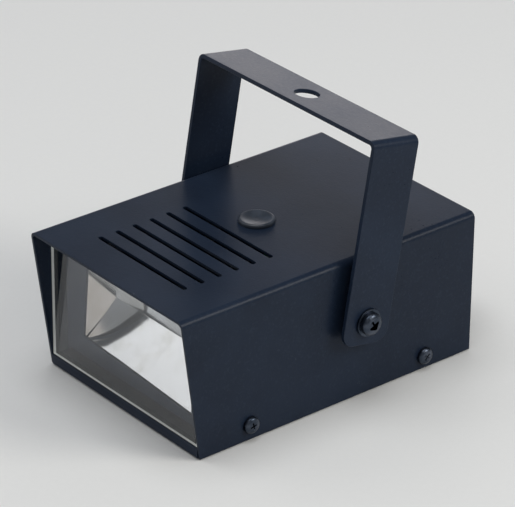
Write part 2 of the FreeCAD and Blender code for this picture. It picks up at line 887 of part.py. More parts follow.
def make_grommets():
    rings = []
    inner = "tube_radius + seat_gap"
    neck = "end_plate_gauge + 2 * seat_gap"
    for side in (-1, 1):
        body = turned("grommet", (
            (inner, "-grommet_lip"),
            ("grommet_radius", "-grommet_lip"),
            ("grommet_radius", "0"),
            ("grommet_neck", "0"),
            ("grommet_neck", neck),
            ("grommet_radius", neck),
            ("grommet_radius", f"{neck} + grommet_lip"),
            (inner, f"{neck} + grommet_lip"),
        ))
        turn = "x" if side > 0 else "-x"
        middle = f"{side} * (end_plate_inner - seat_gap)"
        rings.append(place(body, turn, (middle, "tube_place", "tube_level")))
    return group("tube_grommets", rings)


def make_tube_leads():
    leads = []
    for side in (-1, 1):
        begin = "tube_half + pin_outside"
        out = f"{begin} + lead_out - lead_radius"
        inset = "board_half - lead_landing"
        stations = (
            (begin, "tube_place", "tube_level"),
            (out, "tube_place", "tube_level"),
            (out, "tube_place + lead_back", "tube_level - lead_drop"),
            (inset, "board_front + lead_inset", "board_top + lead_rise"),
            (inset, "board_front + lead_inset", "board_top"),
        )
        sided = [(f"{side} * ({x})", y, z) for x, y, z in stations]
        leads.append(wire("tube_lead", sided, "lead_radius", "lead_bend"))
    return group("tube_leads", leads)


def make_trigger_wire():
    band_inner = "tube_radius + seat_gap"
    band_spot = ("-band_wide / 2", "tube_place", "tube_level")
    band = washer("band", "x", band_spot, "band_wide", f"{band_inner} + band_thick", band_inner)
    coil_top = "board_top + coil_high"
    tail = wire("trigger_tail", (
        ("0", f"tube_place + {band_inner} + band_thick / 2", "tube_level"),
        ("0", "mirror_back + coil_high / 3", "tube_level"),
        ("coil_middle", "coil_place", "tube_level"),
        ("coil_middle", "coil_place", coil_top),
    ), "thin_radius", "thin_bend")
    return keep(fuse("trigger_run", band, tail), "trigger_wire")


# Electronics

def board_corners():
    inset = "board_screw_inset"
    for across in (f"{inset} - board_half", f"board_half - {inset}"):
        for along in (f"board_front + {inset}", f"board_rear - {inset}"):
            yield across, along


def make_board():
    plate = block("board_plate", ("-board_half", "board_half"), ("board_front", "board_rear"),
                  ("board_under", "board_top"))
    holes = [
        rod("board_hole", "z", (x, y, "board_under"), "board_thick", "board_screw_radius + screw_gap")
        for x, y in board_corners()
    ]
    return keep(cut("board", plate, *holes), "circuit_board")


def make_standoffs():
    posts = [
        washer("standoff", "z", (x, y, "tray_gauge"), "standoff_high", "standoff_radius",
               "board_screw_radius + running_gap")
        for x, y in board_corners()
    ]
    return group("board_standoffs", posts)


def make_board_screws():
    screws = []
    for x, y in board_corners():
        screw = pan_screw("board_screw", "board_screw_radius", "board_head_radius", "board_head_high",
                          "board_screw_long")
        screws.append(place(screw, "z", (x, y, "board_top")))
    return group("board_screws", screws)


def make_reservoirs():
    cans = []
    outer = "reservoir_radius"
    shoulder = "reservoir_round"
    for side in (-1, 1):
        can = turned("reservoir", (
            ("0", "0"),
            (f"{outer} - {shoulder}", "0"),
            (outer, shoulder),
            (outer, f"3 * {shoulder}"),
            (f"{outer} - reservoir_crimp", f"4 * {shoulder}"),
            (outer, f"5 * {shoulder}"),
            (outer, f"reservoir_high - {shoulder}"),
            (f"{outer} - {shoulder}", "reservoir_high"),
            ("0", "reservoir_high"),
        ))
        along = f"reservoir_place + {side} * reservoir_pitch / 2"
        cans.append(place(can, "z", ("0", along, "board_top")))
    return group("reservoir_capacitors", cans)


def make_ballast():
    across = ("ballast_middle - ballast_wide / 2", "ballast_middle + ballast_wide / 2")
    along = ("ballast_place - ballast_long / 2", "ballast_place + ballast_long / 2")
    low = "board_top + ballast_feet"
    brick = block("ballast_brick", across, along, (low, f"{low} + ballast_wide"))
    body = soften("ballast_body", brick, "ballast_round", lambda edge: True)
    feet = []
    for end in (-1, 1):
        spot = ("ballast_middle", f"ballast_place + {end} * (ballast_long / 2 - ballast_wide / 2)", "board_top")
        feet.append(rod("ballast_foot", "z", spot, "ballast_feet + ballast_round", "ballast_wide / 4"))
    return keep(fuse("ballast", body, *feet), "ballast_resistor")


def make_diodes():
    pieces = []
    level = "(board_top + diode_radius)"
    for count in range(DIODE_COUNT):
        along = f"(diode_last - {count} * diode_pitch)"
        barrel = rod("diode_barrel", "x", ("-diode_long / 2", along, level), "diode_long", "diode_radius")
        axle = rod("diode_axle", "x", ("-diode_span / 2", along, level), "diode_span", "diode_lead")
        legs = [
            rod("diode_leg", "z", (f"{side} * (diode_span / 2 - diode_lead)", along, "board_top"),
                "diode_radius + diode_lead", "diode_lead")
            for side in (-1, 1)
        ]
        pieces.append(fuse("diode", barrel, axle, *legs))
    return group("rectifier_diodes", pieces)


def make_coil():
    top = "coil_high"
    edge = "coil_flange_thick"
    coil = turned("coil", (
        ("0", "0"),
        ("coil_flange", "0"),
        ("coil_flange", edge),
        ("coil_radius", edge),
        ("coil_radius", f"{top} - {edge}"),
        ("coil_flange", f"{top} - {edge}"),
        ("coil_flange", top),
        ("0", top),
    ))
    place(coil, "z", ("coil_middle", "coil_place", "board_top"))
    return keep(coil, "trigger_coil")


def make_film_capacitor():
    across = ("film_middle - film_wide / 2", "film_middle + film_wide / 2")
    along = ("film_place - film_deep / 2", "film_place + film_deep / 2")
    brick = block("film_brick", across, along, ("board_top", "board_top + film_high"))
    foot = value("board_top")

    def raised(edge):
        return edge.BoundBox.ZMax > foot + value("film_round")
    return keep(soften("film", brick, "film_round", raised), "trigger_capacitor")


def make_thyristor():
    spot = ("thyristor_middle", "thyristor_place", "board_top + thyristor_legs")
    can = rod("thyristor_can", "z", spot, "thyristor_high", "thyristor_radius")
    low = "board_top + thyristor_legs - overrun"
    spare = "(thyristor_radius + overrun)"
    flat = block("thyristor_side", (f"thyristor_middle - {spare}", f"thyristor_middle + {spare}"),
                 ("thyristor_place + thyristor_flat", f"thyristor_place + {spare}"),
                 (low, f"{low} + thyristor_high + 2 * overrun"))
    legs = [
        rod("thyristor_leg", "z", (f"thyristor_middle + {count} * thyristor_pitch", "thyristor_place", "board_top"),
            "thyristor_legs + leg_radius", "leg_radius")
        for count in (-1, 0, 1)
    ]
    return keep(fuse("thyristor", cut("thyristor_case", can, flat), *legs), "trigger_thyristor")


def make_fuse():
    begin = "(fuse_place - fuse_long / 2)"
    level = "board_top + fuse_level"
    glass = rod("fuse_glass", "y", ("fuse_middle", begin, level), "fuse_long", "fuse_glass_radius")
    caps = [
        rod("fuse_end", "y", ("fuse_middle", spot, level), "fuse_cap", "fuse_radius")
        for spot in (begin, f"{begin} + fuse_long - fuse_cap")
    ]
    return keep(fuse("fuse_whole", glass, *caps), "fuse")


def make_fuse_clips():
    clips = []
    reach = "(fuse_radius + seat_gap + clip_gauge)"
    for end in (-1, 1):
        middle = f"(fuse_place + {end} * (fuse_long / 2 - fuse_cap / 2))"
        along = (f"{middle} - clip_wide / 2", f"{middle} + clip_wide / 2")
        level = "(board_top + fuse_level)"
        shell = block("clip_shell", (f"fuse_middle - {reach}", f"fuse_middle + {reach}"), along,
                      ("board_top", f"{level} + clip_rise"))
        nest = rod("clip_nest", "y", ("fuse_middle", f"{along[0]} - overrun", level),
                   "clip_wide + 2 * overrun", "fuse_radius + seat_gap")
        inner = f"({reach} - clip_gauge)"
        way = block("clip_way", (f"fuse_middle - {inner}", f"fuse_middle + {inner}"),
                    (f"{along[0]} - overrun", f"{along[1]} + overrun"),
                    (level, f"{level} + clip_rise + overrun"))
        clips.append(cut("fuse_clip", shell, nest, way))
    return group("fuse_clips", clips)


def terminal_spots():
    for side in (-1, 1):
        yield f"(terminal_middle + {side} * terminal_wide / 4)"


def make_terminal_block():
    front = "(terminal_rear - terminal_deep)"
    brick = block("terminal_brick",
                  ("terminal_middle - terminal_wide / 2", "terminal_middle + terminal_wide / 2"),
                  (front, "terminal_rear"), ("board_top", "board_top + terminal_high"))
    tools = []
    for across in terminal_spots():
        well = "board_top + terminal_high - terminal_screw_long"
        tools.append(rod("terminal_well", "z", (across, f"{front} + terminal_deep / 2", well),
                         "terminal_screw_long + overrun", "terminal_screw_radius + seat_gap"))
        tools.append(rod("terminal_entry", "y", (across, f"{front} + terminal_deep / 2",
                                                 "board_top + terminal_entry_level"),
                         "terminal_deep / 2 + overrun", "terminal_entry_radius"))
    return keep(cut("terminal", brick, *tools), "terminal_block")


def make_terminal_screws():
    screws = []
    front = "(terminal_rear - terminal_deep)"
    for across in terminal_spots():
        along = f"({front} + terminal_deep / 2)"
        low = "board_top + terminal_high - terminal_screw_long"
        high = "(board_top + terminal_high - terminal_slot)"
        post = rod("terminal_post", "z", (across, along, low), "terminal_screw_long - terminal_slot",
                   "terminal_screw_radius")
        half = "(terminal_slot / 2)"
        reach = "(terminal_screw_radius + overrun)"
        slot = block("terminal_nick", (f"{across} - {reach}", f"{across} + {reach}"),
                     (f"{along} - {half}", f"{along} + {half}"),
                     (f"{high} - terminal_slot", f"{high} + overrun"))
        screws.append(cut("terminal_screw", post, slot))
    return group("terminal_screws", screws)


# Rate control

def make_pot():
    front = "(rear_inner - pot_deep)"
    can = rod("pot_can", "y", ("knob_middle", front, "knob_level"), "pot_deep", "pot_radius")
    bush_long = "(tray_gauge + bush_proud)"
    bush = rod("pot_bush", "y", ("knob_middle", "rear_inner", "knob_level"), bush_long, "bush_radius")
    way = rod("pot_way", "y", ("knob_middle", "rear_inner - shaft_inside - seat_gap", "knob_level"),
              f"shaft_inside + seat_gap + {bush_long} + overrun", "shaft_radius + running_gap")
    tags = []
    for count in range(SIGNAL_COUNT):
        across = signal_across(count)
        tags.append(block("pot_tag", (f"{across} - signal_radius", f"{across} + signal_radius"),
                          (f"{front} + pot_deep / 3", f"{front} + pot_deep / 3 + signal_radius"),
                          ("knob_level - pot_radius - tag_drop", "knob_level - pot_radius / 2")))
    return keep(cut("pot", fuse("pot_blank", can, bush, *tags), way), "rate_pot_body")


def signal_across(count):
    return f"(knob_middle + {count - (SIGNAL_COUNT - 1) / 2} * signal_pitch)"


def make_pot_nut():
    spot = ("knob_middle", "rear_face", "knob_level")
    return keep(nut("pot_nut", "y", spot, "pot_nut_thick", "pot_nut_flats", "bush_radius"), "rate_pot_nut")


def make_pot_shaft():
    spot = ("knob_middle", "rear_inner - shaft_inside", "knob_level")
    length = "shaft_inside + tray_gauge + bush_proud + shaft_proud"
    return keep(rod("pot_shaft", "y", spot, length, "shaft_radius"), "rate_pot_shaft")


def make_knob():
    # Turned about Z from its open end up, fluted round the grip, then laid along Y.
    bore = "(shaft_radius + running_gap / 2)"
    bore_deep = "(bush_proud + shaft_proud - knob_gap + seat_gap)"
    body = turned("knob", (
        ("knob_skirt", "0"),
        ("knob_radius", "0"),
        ("knob_radius", "knob_skirt_high - knob_edge / 2"),
        ("knob_radius - knob_edge / 2", "knob_skirt_high"),
        ("knob_grip_radius", "knob_skirt_high"),
        ("knob_crown", "knob_deep - knob_edge"),
        ("knob_crown - knob_edge", "knob_deep"),
        ("0", "knob_deep"),
        ("0", bore_deep),
        (bore, bore_deep),
        (bore, "knob_skirt_deep"),
        ("knob_skirt", "knob_skirt_deep"),
    ))
    doc.recompute()
    flute = sketch_on(body, "knob_flute", "XY_Plane", "knob_skirt_high")
    circle(flute, "knob_grip_radius + flute_radius - flute_sink", "0", "flute_radius")
    first_flute = body.newObject("PartDesign::Pocket", "knob_flute_cut")
    first_flute.Profile = flute
    first_flute.Reversed = True
    bind(first_flute, {"Length": "knob_deep"})
    ring = body.newObject("PartDesign::PolarPattern", "knob_flutes")
    ring.Originals = [first_flute]
    ring.Axis = (origin_item(body, "Z_Axis"), [""])
    ring.Angle = 360
    ring.Occurrences = FLUTE_COUNT
    body.Tip = ring
    doc.recompute()
    line = sketch_on(body, "knob_line", "XY_Plane", "knob_deep")
    rectangle(line, ("-pointer_wide / 2", "knob_crown / 4"), ("pointer_wide / 2", "knob_radius"))
    mark = body.newObject("PartDesign::Pocket", "knob_line_cut")
    mark.Profile = line
    bind(mark, {"Length": "pointer_deep"})
    body.Tip = mark
    # Laid over, the pointer line would face down, so it is turned half round first.
    body.Placement.Rotation = TURNS["y"].multiply(Rotation(Vector(0, 0, 1), 180))
    spot = ("knob_middle", "rear_face + knob_gap", "knob_level")
    bind(body, {f"Placement.Base.{axis}": text for axis, text in zip("xyz", spot)})
    return keep(body, "rate_knob")


def make_rate_wires():
    runs = []
    for count in range(SIGNAL_COUNT):
        across = signal_across(count)
        along = "rear_inner - pot_deep + pot_deep / 3 + signal_radius / 2"
        landing = "board_rear - signal_inset"
        runs.append(wire("rate_wire", (
            (across, along, "knob_level - pot_radius - tag_drop"),
            (across, along, "board_top + signal_rise"),
            (across, landing, "board_top + signal_rise"),
            (across, landing, "board_top"),
        ), "signal_radius", "signal_bend"))
    return group("rate_wires", runs)


# Rear entry and earth point

def make_gland():
    flange = "gland_flange_thick"
    tip = f"({flange} + gland_cap_deep)"
    foot = opposite("(tray_gauge + gland_inside)")
    body = turned("gland", (
        ("gland_bore", foot),
        ("gland_body", foot),
        ("gland_body", "0"),
        ("gland_flange", "0"),
        ("gland_flange", flange),
        ("gland_cap", flange),
        ("gland_cap", f"{tip} - gland_cap_round"),
        ("gland_cap - gland_cap_round", tip),
        ("gland_bore", tip),
    ))
    place(body, "y", ("gland_middle", "rear_face", "gland_level"))
    return keep(body, "cable_gland")


def make_gland_nut():
    spot = ("gland_middle", "rear_inner - gland_nut_thick", "gland_level")
    item = nut("gland_ring", "y", spot, "gland_nut_thick", "gland_nut_flats", "gland_body")
    return keep(item, "gland_nut")


def make_earth_tag():
    along = ("rear_inner - tag_thick", "rear_inner")
    ring = rod("tag_ring", "y", ("earth_middle", along[0], "earth_level"), "tag_thick", "tag_radius")
    tail = block("tag_tail", ("earth_middle - tag_wide / 2", "earth_middle + tag_wide / 2"), along,
                 ("earth_level - tag_long", "earth_level"))
    hole = rod("tag_hole", "y", ("earth_middle", f"{along[0]} - overrun", "earth_level"),
               "tag_thick + 2 * overrun", "earth_radius + screw_gap")
    return keep(cut("tag", fuse("tag_blank", ring, tail), hole), "earth_tag")


def make_earth_screw():
    screw = pan_screw("earth_bolt", "earth_radius", "earth_head_radius", "earth_head_high", "earth_long")
    place(screw, "y", ("earth_middle", "rear_face", "earth_level"))
    return keep(screw, "earth_screw")


def make_earth_nut():
    spot = ("earth_middle", "rear_inner - tag_thick - earth_nut_thick", "earth_level")
    item = nut("earth_hex", "y", spot, "earth_nut_thick", "earth_nut_flats", "earth_radius")
    return keep(item, "earth_nut")


def make_earth_wire():
    along = "rear_inner - lead_radius - seat_gap"
    across = "terminal_middle - terminal_wide / 4"
    level = "board_top + terminal_entry_level"
    back = "terminal_rear + earth_wire_bend + lead_radius"
    item = wire("earth_run", (
        ("earth_middle", along, "earth_level - tag_long - seat_gap"),
        ("earth_middle", along, "earth_level - tag_long - 2 * earth_wire_bend"),
        (across, back, level),
        (across, "terminal_rear - terminal_deep / 2 + seat_gap", level),
    ), "lead_radius", "earth_wire_bend")
    return keep(item, "earth_wire")


# Side screws

def side_spots():
    yield "side_front_place", "side_front_level", "(wing_outer - panel_gauge)"
    yield "side_rear_place", "side_rear_level", "(tray_half - tray_gauge)"


def make_cover_screws():
    screws = []
    for side in (-1, 1):
        for along, level, _ in side_spots():
            screw = pan_screw("side_screw", "side_radius", "side_head_radius", "side_head_high", "side_long")
            turn = "x" if side > 0 else "-x"
            screws.append(place(screw, turn, (f"{side} * cover_wide / 2", along, level)))
    return group("cover_screws", screws)


def make_cover_nuts():
    nuts = []
    for side in (-1, 1):
        for along, level, seat in side_spots():
            across = mirrored(side, f"{seat} - side_nut_thick", seat)
            nuts.append(nut("side_nut", "x", (across[0], along, level), "side_nut_thick",
                            "side_nut_flats", "side_radius"))
    return group("cover_nuts", nuts)


# Tilting bracket

def make_bracket():
    # Drawn upright about its pivot axis, then leaned back to its place.
    body = start("strap")
    fold = sketch_on(body, "strap_fold", "XZ_Plane")
    low = opposite("leg_under")
    polygon(fold, (
        ("-bracket_half", low),
        ("-bracket_half", "bracket_reach"),
        ("bracket_half", "bracket_reach"),
        ("bracket_half", low),
        ("leg_inner", low),
        ("leg_inner", "bracket_reach - bracket_gauge"),
        (opposite("leg_inner"), "bracket_reach - bracket_gauge"),
        (opposite("leg_inner"), low),
    ))
    blank = pad(body, fold, "bracket_wide", middle=True)
    outer = bend(body, blank, "bracket_bend", along_y(value("bracket_half"), value("bracket_reach")))
    inner_level = value("bracket_reach - bracket_gauge")
    folded = bend(body, outer, "bracket_bend - bracket_gauge", along_y(value("leg_inner"), inner_level))
    half = value("bracket_wide / 2")
    under = value("leg_under")

    def leg_end(edge):
        box = edge.BoundBox
        across = near(abs(box.YMin), half) and near(abs(box.YMax), half) and near(box.YMin, box.YMax)
        return across and near(box.ZMin, -under) and near(box.ZMax, -under)
    bend(body, folded, "leg_corner", leg_end)
    hole = sketch_on(body, "strap_hole", "XY_Plane")
    circle(hole, "0", "0", "bracket_hole_radius")
    pocket(body, hole)
    pivots = sketch_on(body, "strap_pivots", "YZ_Plane")
    circle(pivots, "0", "0", "pivot_radius + running_gap")
    body.Tip = pocket(body, pivots)
    body.Placement.Rotation = Rotation(Vector(1, 0, 0), -value("bracket_lean"))
    bind(body, {"Placement.Base.y": "pivot_place", "Placement.Base.z": "pivot_level"})
    return keep(body, "mounting_bracket")


def pivot_set(label, build):
    return group(label, [build(side) for side in (-1, 1)])


def make_pivot_screws():
    seat = "(bracket_half + turn_gap + pivot_washer_thick)"
    inner = "(cover_inner - pivot_nut_thick - pivot_spare)"

    def build(side):
        screw = pan_screw("pivot_screw", "pivot_radius", "pivot_head_radius", "pivot_head_high",
                          f"{seat} - {inner}")
        turn = "x" if side > 0 else "-x"
        return place(screw, turn, (f"{side} * {seat}", "pivot_place", "pivot_level"))
    return pivot_set("pivot_screws", build)


def make_pivot_washers():
    def build(side):
        near_face = "bracket_half + turn_gap"
        across = mirrored(side, near_face, f"{near_face} + pivot_washer_thick")
        return washer("pivot_washer", "x", (across[0], "pivot_place", "pivot_level"),
                      "pivot_washer_thick", "pivot_washer_radius", "pivot_radius + screw_gap")
    return pivot_set("pivot_washers", build)


def make_pivot_spacers():
    def build(side):
        across = mirrored(side, "cover_wide / 2", "cover_wide / 2 + spacer_thick")
        return washer("pivot_spacer", "x", (across[0], "pivot_place", "pivot_level"), "spacer_thick",
                      "pivot_spacer_radius", "pivot_radius + screw_gap")
    return pivot_set("pivot_spacers", build)


def make_pivot_nuts():
    def build(side):
        across = mirrored(side, "cover_inner - pivot_nut_thick", "cover_inner")
        return nut("pivot_nut", "x", (across[0], "pivot_place", "pivot_level"), "pivot_nut_thick",
                   "pivot_nut_flats", "pivot_radius")
    return pivot_set("pivot_nuts", build)


BUILDERS = (
    make_cover, make_tray, make_front_panel, make_lens, make_lens_pads, make_hole_plug,
    make_trough, make_end_plates, make_tube, make_electrodes, make_grommets, make_tube_leads,
    make_trigger_wire, make_board, make_standoffs, make_board_screws, make_reservoirs,
    make_ballast, make_diodes, make_coil, make_film_capacitor, make_thyristor, make_fuse,
    make_fuse_clips, make_terminal_block, make_terminal_screws, make_pot, make_pot_nut,
    make_pot_shaft, make_knob, make_rate_wires, make_gland, make_gland_nut, make_earth_tag,
    make_earth_screw, make_earth_nut, make_earth_wire, make_cover_screws, make_cover_nuts,
    make_bracket, make_pivot_screws, make_pivot_washers, make_pivot_spacers, make_pivot_nuts,
)

for build in BUILDERS:
    build()
doc.recompute()

for item in doc.Objects:
    if "Invalid" in item.State or "Error" in item.State:
        raise RuntimeError(f"{item.Name} failed: {item.State}")
for item in subparts:
    if item.Shape.isNull() or not item.Shape.isValid():
        raise RuntimeError(f"{item.Label} has no valid shape")

os.makedirs("parts", exist_ok=True)
for item in subparts:
    item.Shape.exportStep(f"parts/{item.Label}.step")
    print(f"{item.Label}: {len(item.Shape.Solids)} solids, {item.Shape.Volume:.1f} cubic mm")
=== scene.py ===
import math

import bmesh
import bpy
from mathutils import Matrix, Vector


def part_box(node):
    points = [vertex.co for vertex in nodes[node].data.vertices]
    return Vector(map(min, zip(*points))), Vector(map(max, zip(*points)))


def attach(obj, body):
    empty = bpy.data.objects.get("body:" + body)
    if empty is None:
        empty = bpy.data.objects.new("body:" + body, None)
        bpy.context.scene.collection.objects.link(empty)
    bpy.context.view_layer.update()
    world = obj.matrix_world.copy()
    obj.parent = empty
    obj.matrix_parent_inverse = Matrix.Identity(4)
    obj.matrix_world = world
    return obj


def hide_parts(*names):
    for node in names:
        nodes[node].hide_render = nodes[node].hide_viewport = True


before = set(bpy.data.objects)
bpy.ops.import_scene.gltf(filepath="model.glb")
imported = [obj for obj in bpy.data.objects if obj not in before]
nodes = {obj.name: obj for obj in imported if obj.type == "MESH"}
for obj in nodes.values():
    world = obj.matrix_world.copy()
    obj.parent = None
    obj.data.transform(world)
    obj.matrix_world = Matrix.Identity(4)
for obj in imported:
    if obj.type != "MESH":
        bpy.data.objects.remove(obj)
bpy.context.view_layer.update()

mm = 0.001  # every length below is written in millimetres


# Working helpers

def deselectAll():
    active = bpy.context.view_layer.objects.active
    if active and active.mode != "OBJECT":
        bpy.ops.object.mode_set(mode="OBJECT")
    bpy.ops.object.select_all(action="DESELECT")


def activate(*pieces):
    deselectAll()
    for piece in pieces:
        piece.select_set(True)
    bpy.context.view_layer.objects.active = pieces[0]


def applyPlace(piece):
    activate(piece)
    bpy.ops.object.transform_apply(location=True, rotation=True, scale=True)


def scaled(spot):
    return Vector(spot) * mm


def addBlock(name, low, high):
    deselectAll()
    middle = (Vector(low) + Vector(high)) / 2
    bpy.ops.mesh.primitive_cube_add(size=1, location=middle * mm)
    piece = bpy.context.object
    piece.name = name
    piece.scale = (Vector(high) - Vector(low)) * mm
    applyPlace(piece)
    return piece


layAlong = {"x": (0, math.pi / 2, 0), "-x": (0, -math.pi / 2, 0), "y": (-math.pi / 2, 0, 0), "z": (0, 0, 0)}


def addRod(name, axis, centre, radius, length, sides=48):
    # A round bar centred on the spot.
    deselectAll()
    bpy.ops.mesh.primitive_cylinder_add(vertices=sides, radius=radius * mm, depth=length * mm,
                                        location=scaled(centre), rotation=layAlong[axis])
    piece = bpy.context.object
    piece.name = name
    applyPlace(piece)
    return piece


def pick(piece, kind, test):
    # Selects, in edit mode, what passes the test: a face by its middle and normal, an edge by its
    # two ends, a vertex by its place, all in millimetres.
    activate(piece)
    bpy.ops.object.mode_set(mode="EDIT")
    bpy.ops.mesh.select_mode(type=kind)
    bpy.ops.mesh.select_all(action="DESELECT")
    mesh = bmesh.from_edit_mesh(piece.data)
    mesh.normal_update()
    if kind == "FACE":
        for face in mesh.faces:
            face.select_set(test(face.calc_center_median() / mm, face.normal))
    elif kind == "EDGE":
        for edge in mesh.edges:
            edge.select_set(test(edge.verts[0].co / mm, edge.verts[1].co / mm))
    else:
        for vertex in mesh.verts:
            vertex.select_set(test(vertex.co / mm))
    mesh.select_flush_mode()
    bmesh.update_edit_mesh(piece.data)


def leaveEdit():
    bpy.ops.object.mode_set(mode="OBJECT")


def modify(piece, kind, **settings):
    activate(piece)
    modifier = piece.modifiers.new(kind.title(), kind)
    for name, value in settings.items():
        setattr(modifier, name, value)
    bpy.ops.object.modifier_apply(modifier=modifier.name)


def joinPieces(*pieces):
    activate(*pieces)
    if len(pieces) > 1:
        bpy.ops.object.join()
    return pieces[0]


def cutWith(piece, *cutters):
    for cutter in cutters:
        modify(piece, "BOOLEAN", object=cutter, operation="DIFFERENCE", solver="EXACT")
        bpy.data.objects.remove(cutter)


def copyOf(piece, name):
    twin = piece.copy()
    twin.data = piece.data.copy()
    twin.name = name
    bpy.context.collection.objects.link(twin)
    return twin


def tidyMesh(piece, merge=0.002, flat=1.0):
    # Doubles are merged and flat areas become single faces again.
    pick(piece, "VERT", lambda spot: True)
    bpy.ops.mesh.remove_doubles(threshold=merge * mm)
    bpy.ops.mesh.dissolve_limited(angle_limit=math.radians(flat))
    leaveEdit()


def softenEdges(piece, width, segments=2, angle=28):
    modify(piece, "BEVEL", width=width * mm, segments=segments, limit_method="ANGLE",
           angle_limit=math.radians(angle), use_clamp_overlap=True, miter_outer="MITER_ARC")
    activate(piece)
    bpy.ops.object.shade_smooth_by_angle(angle=math.radians(32))
    modify(piece, "WEIGHTED_NORMAL", keep_sharp=True, weight=60)


def refined(node, name, width, segments=2, angle=28, flat=1.0):
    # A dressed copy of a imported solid: merged, cleaned, with its edges broken.
    deselectAll()
    piece = copyOf(nodes[node], name)
    piece.parent = None
    piece.data.transform(nodes[node].matrix_world)
    piece.matrix_world = Matrix.Identity(4)
    tidyMesh(piece, flat=flat)
    softenEdges(piece, width, segments, angle)
    return piece


def settle(piece, body, slot, finish, *replaced):
    # Hands a finished piece over to the frame.
    piece.data.materials.clear()
    piece.data.materials.append(finish)
    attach(piece, body)
    if replaced:
        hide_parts(*replaced)


# Shader helpers

class Signal:
    # A socket in a material's tree. Arithmetic on it adds the Math nodes.
    def __init__(self, tree, socket):
        self.tree = tree
        self.socket = socket

    def combine(self, operation, other, swapped=False):
        node = self.tree.nodes.new("ShaderNodeMath")
        node.operation = operation
        for socket, item in zip(node.inputs, (other, self) if swapped else (self, other)):
            if isinstance(item, Signal):
                self.tree.links.new(item.socket, socket)
            else:
                socket.default_value = item
        return Signal(self.tree, node.outputs[0])

    def __add__(self, other):
        return self.combine("ADD", other)

    def __radd__(self, other):
        return self.combine("ADD", other, True)

    def __sub__(self, other):
        return self.combine("SUBTRACT", other)

    def __rsub__(self, other):
        return self.combine("SUBTRACT", other, True)

    def __mul__(self, other):
        return self.combine("MULTIPLY", other)

    def __rmul__(self, other):
        return self.combine("MULTIPLY", other, True)

    def __pow__(self, other):
        return self.combine("POWER", other)

    def __gt__(self, other):
        return self.combine("GREATER_THAN", other)

    def __lt__(self, other):
        return self.combine("LESS_THAN", other)

    def __or__(self, other):
        return self.combine("MAXIMUM", other)

    def __and__(self, other):
        return self.combine("MINIMUM", other)


class Finish:
    # One material: its shader, its place signal and the nodes that vary it.
    def __init__(self, name, colour, **fixed):
        self.material = bpy.data.materials.new(name)
        self.material.use_nodes = True
        self.tree = self.material.node_tree
        self.shader = self.tree.nodes["Principled BSDF"]
        self.shader.inputs["Base Color"].default_value = linear(colour)
        for socket, value in fixed.items():
            self.shader.inputs[socket.replace("_", " ")].default_value = value
        self.place = self.add("ShaderNodeTexCoord", {}, {}, "Object")

    def add(self, kind, settings, values, output=0):
        # Any node: its settings are set first, then the values or links of its sockets.
        node = self.tree.nodes.new(kind)
        for name, value in settings.items():
            if name == "stops":
                for stop, (spot, colour) in zip(node.color_ramp.elements, value):
                    stop.position = spot
                    stop.color = colour
            else:
                setattr(node, name, value)
        for name, value in values.items():
            if isinstance(value, Signal):
                self.tree.links.new(value.socket, node.inputs[name])
            else:
                node.inputs[name].default_value = value
        return Signal(self.tree, node.outputs[output])

    def feed(self, **signals):
        for name, signal in signals.items():
            self.tree.links.new(signal.socket, self.shader.inputs[name.replace("_", " ")])

    def noise(self, size, detail=3.0, rough=0.55, stretch=(1, 1, 1), shift=(0, 0, 0)):
        # A cloudy value from 0 to 1 whose patches are about that many millimetres across.
        spot = self.add("ShaderNodeMapping", {}, {"Vector": self.place, "Scale": stretch, "Location": shift})
        return self.add("ShaderNodeTexNoise", {}, {"Vector": spot, "Scale": 1 / (size * mm), "Detail": detail,
                                                   "Roughness": rough}, "Fac")

    def cells(self, size, randomness=1.0, output="Distance"):
        return self.add("ShaderNodeTexVoronoi", {}, {"Vector": self.place, "Scale": 1 / (size * mm),
                                                     "Randomness": randomness}, output)

    def between(self, signal, low, high, start=0.0, end=1.0):
        # Fades from start to end while the signal runs from low to high.
        return self.add("ShaderNodeMapRange", {"clamp": True, "interpolation_type": "SMOOTHSTEP"},
                        {"Value": signal, "From Min": low, "From Max": high, "To Min": start, "To Max": end})

    def blend(self, share, first, second):
        # Two colours mixed by a share, each a colour or a signal.
        node = self.tree.nodes.new("ShaderNodeMix")
        node.data_type = "RGBA"
        self.tree.links.new(share.socket, node.inputs[0])
        for socket, item in ((node.inputs[6], first), (node.inputs[7], second)):
            if isinstance(item, Signal):
                self.tree.links.new(item.socket, socket)
            else:
                socket.default_value = linear(item)
        return Signal(self.tree, node.outputs[2])

    def axis(self, name):
        # One coordinate of the place, in millimetres.
        return self.add("ShaderNodeSeparateXYZ", {}, {"Vector": self.place}, name) * (1 / mm)

    def bump(self, height, deep, strength=1.0):
        # A relief whose full height is that many millimetres.
        self.feed(Normal=self.add("ShaderNodeBump", {}, {"Height": height, "Distance": deep * mm,
                                                         "Strength": strength}))


def linear(colour):
    # Colours are written as they look on screen, from 0 to 255.
    def straight(level):
        share = level / 255
        return share / 12.92 if share <= 0.04045 else ((share + 0.055) / 1.055) ** 2.4
    return (*[straight(level) for level in colour], 1.0)


# Camera, at the angle and distance the photograph was taken from

cameraLook = {
    "turn": 50.518,       # degrees round from the front
    "rise": 27.712,       # degrees up
    "roll": 0.560,        # degrees
    "away": 1083.056,     # from the target
    "target": (-1.20109, 0, 39.43756),
    "lens": 225.37,       # millimetres on a 36 mm wide sensor
}


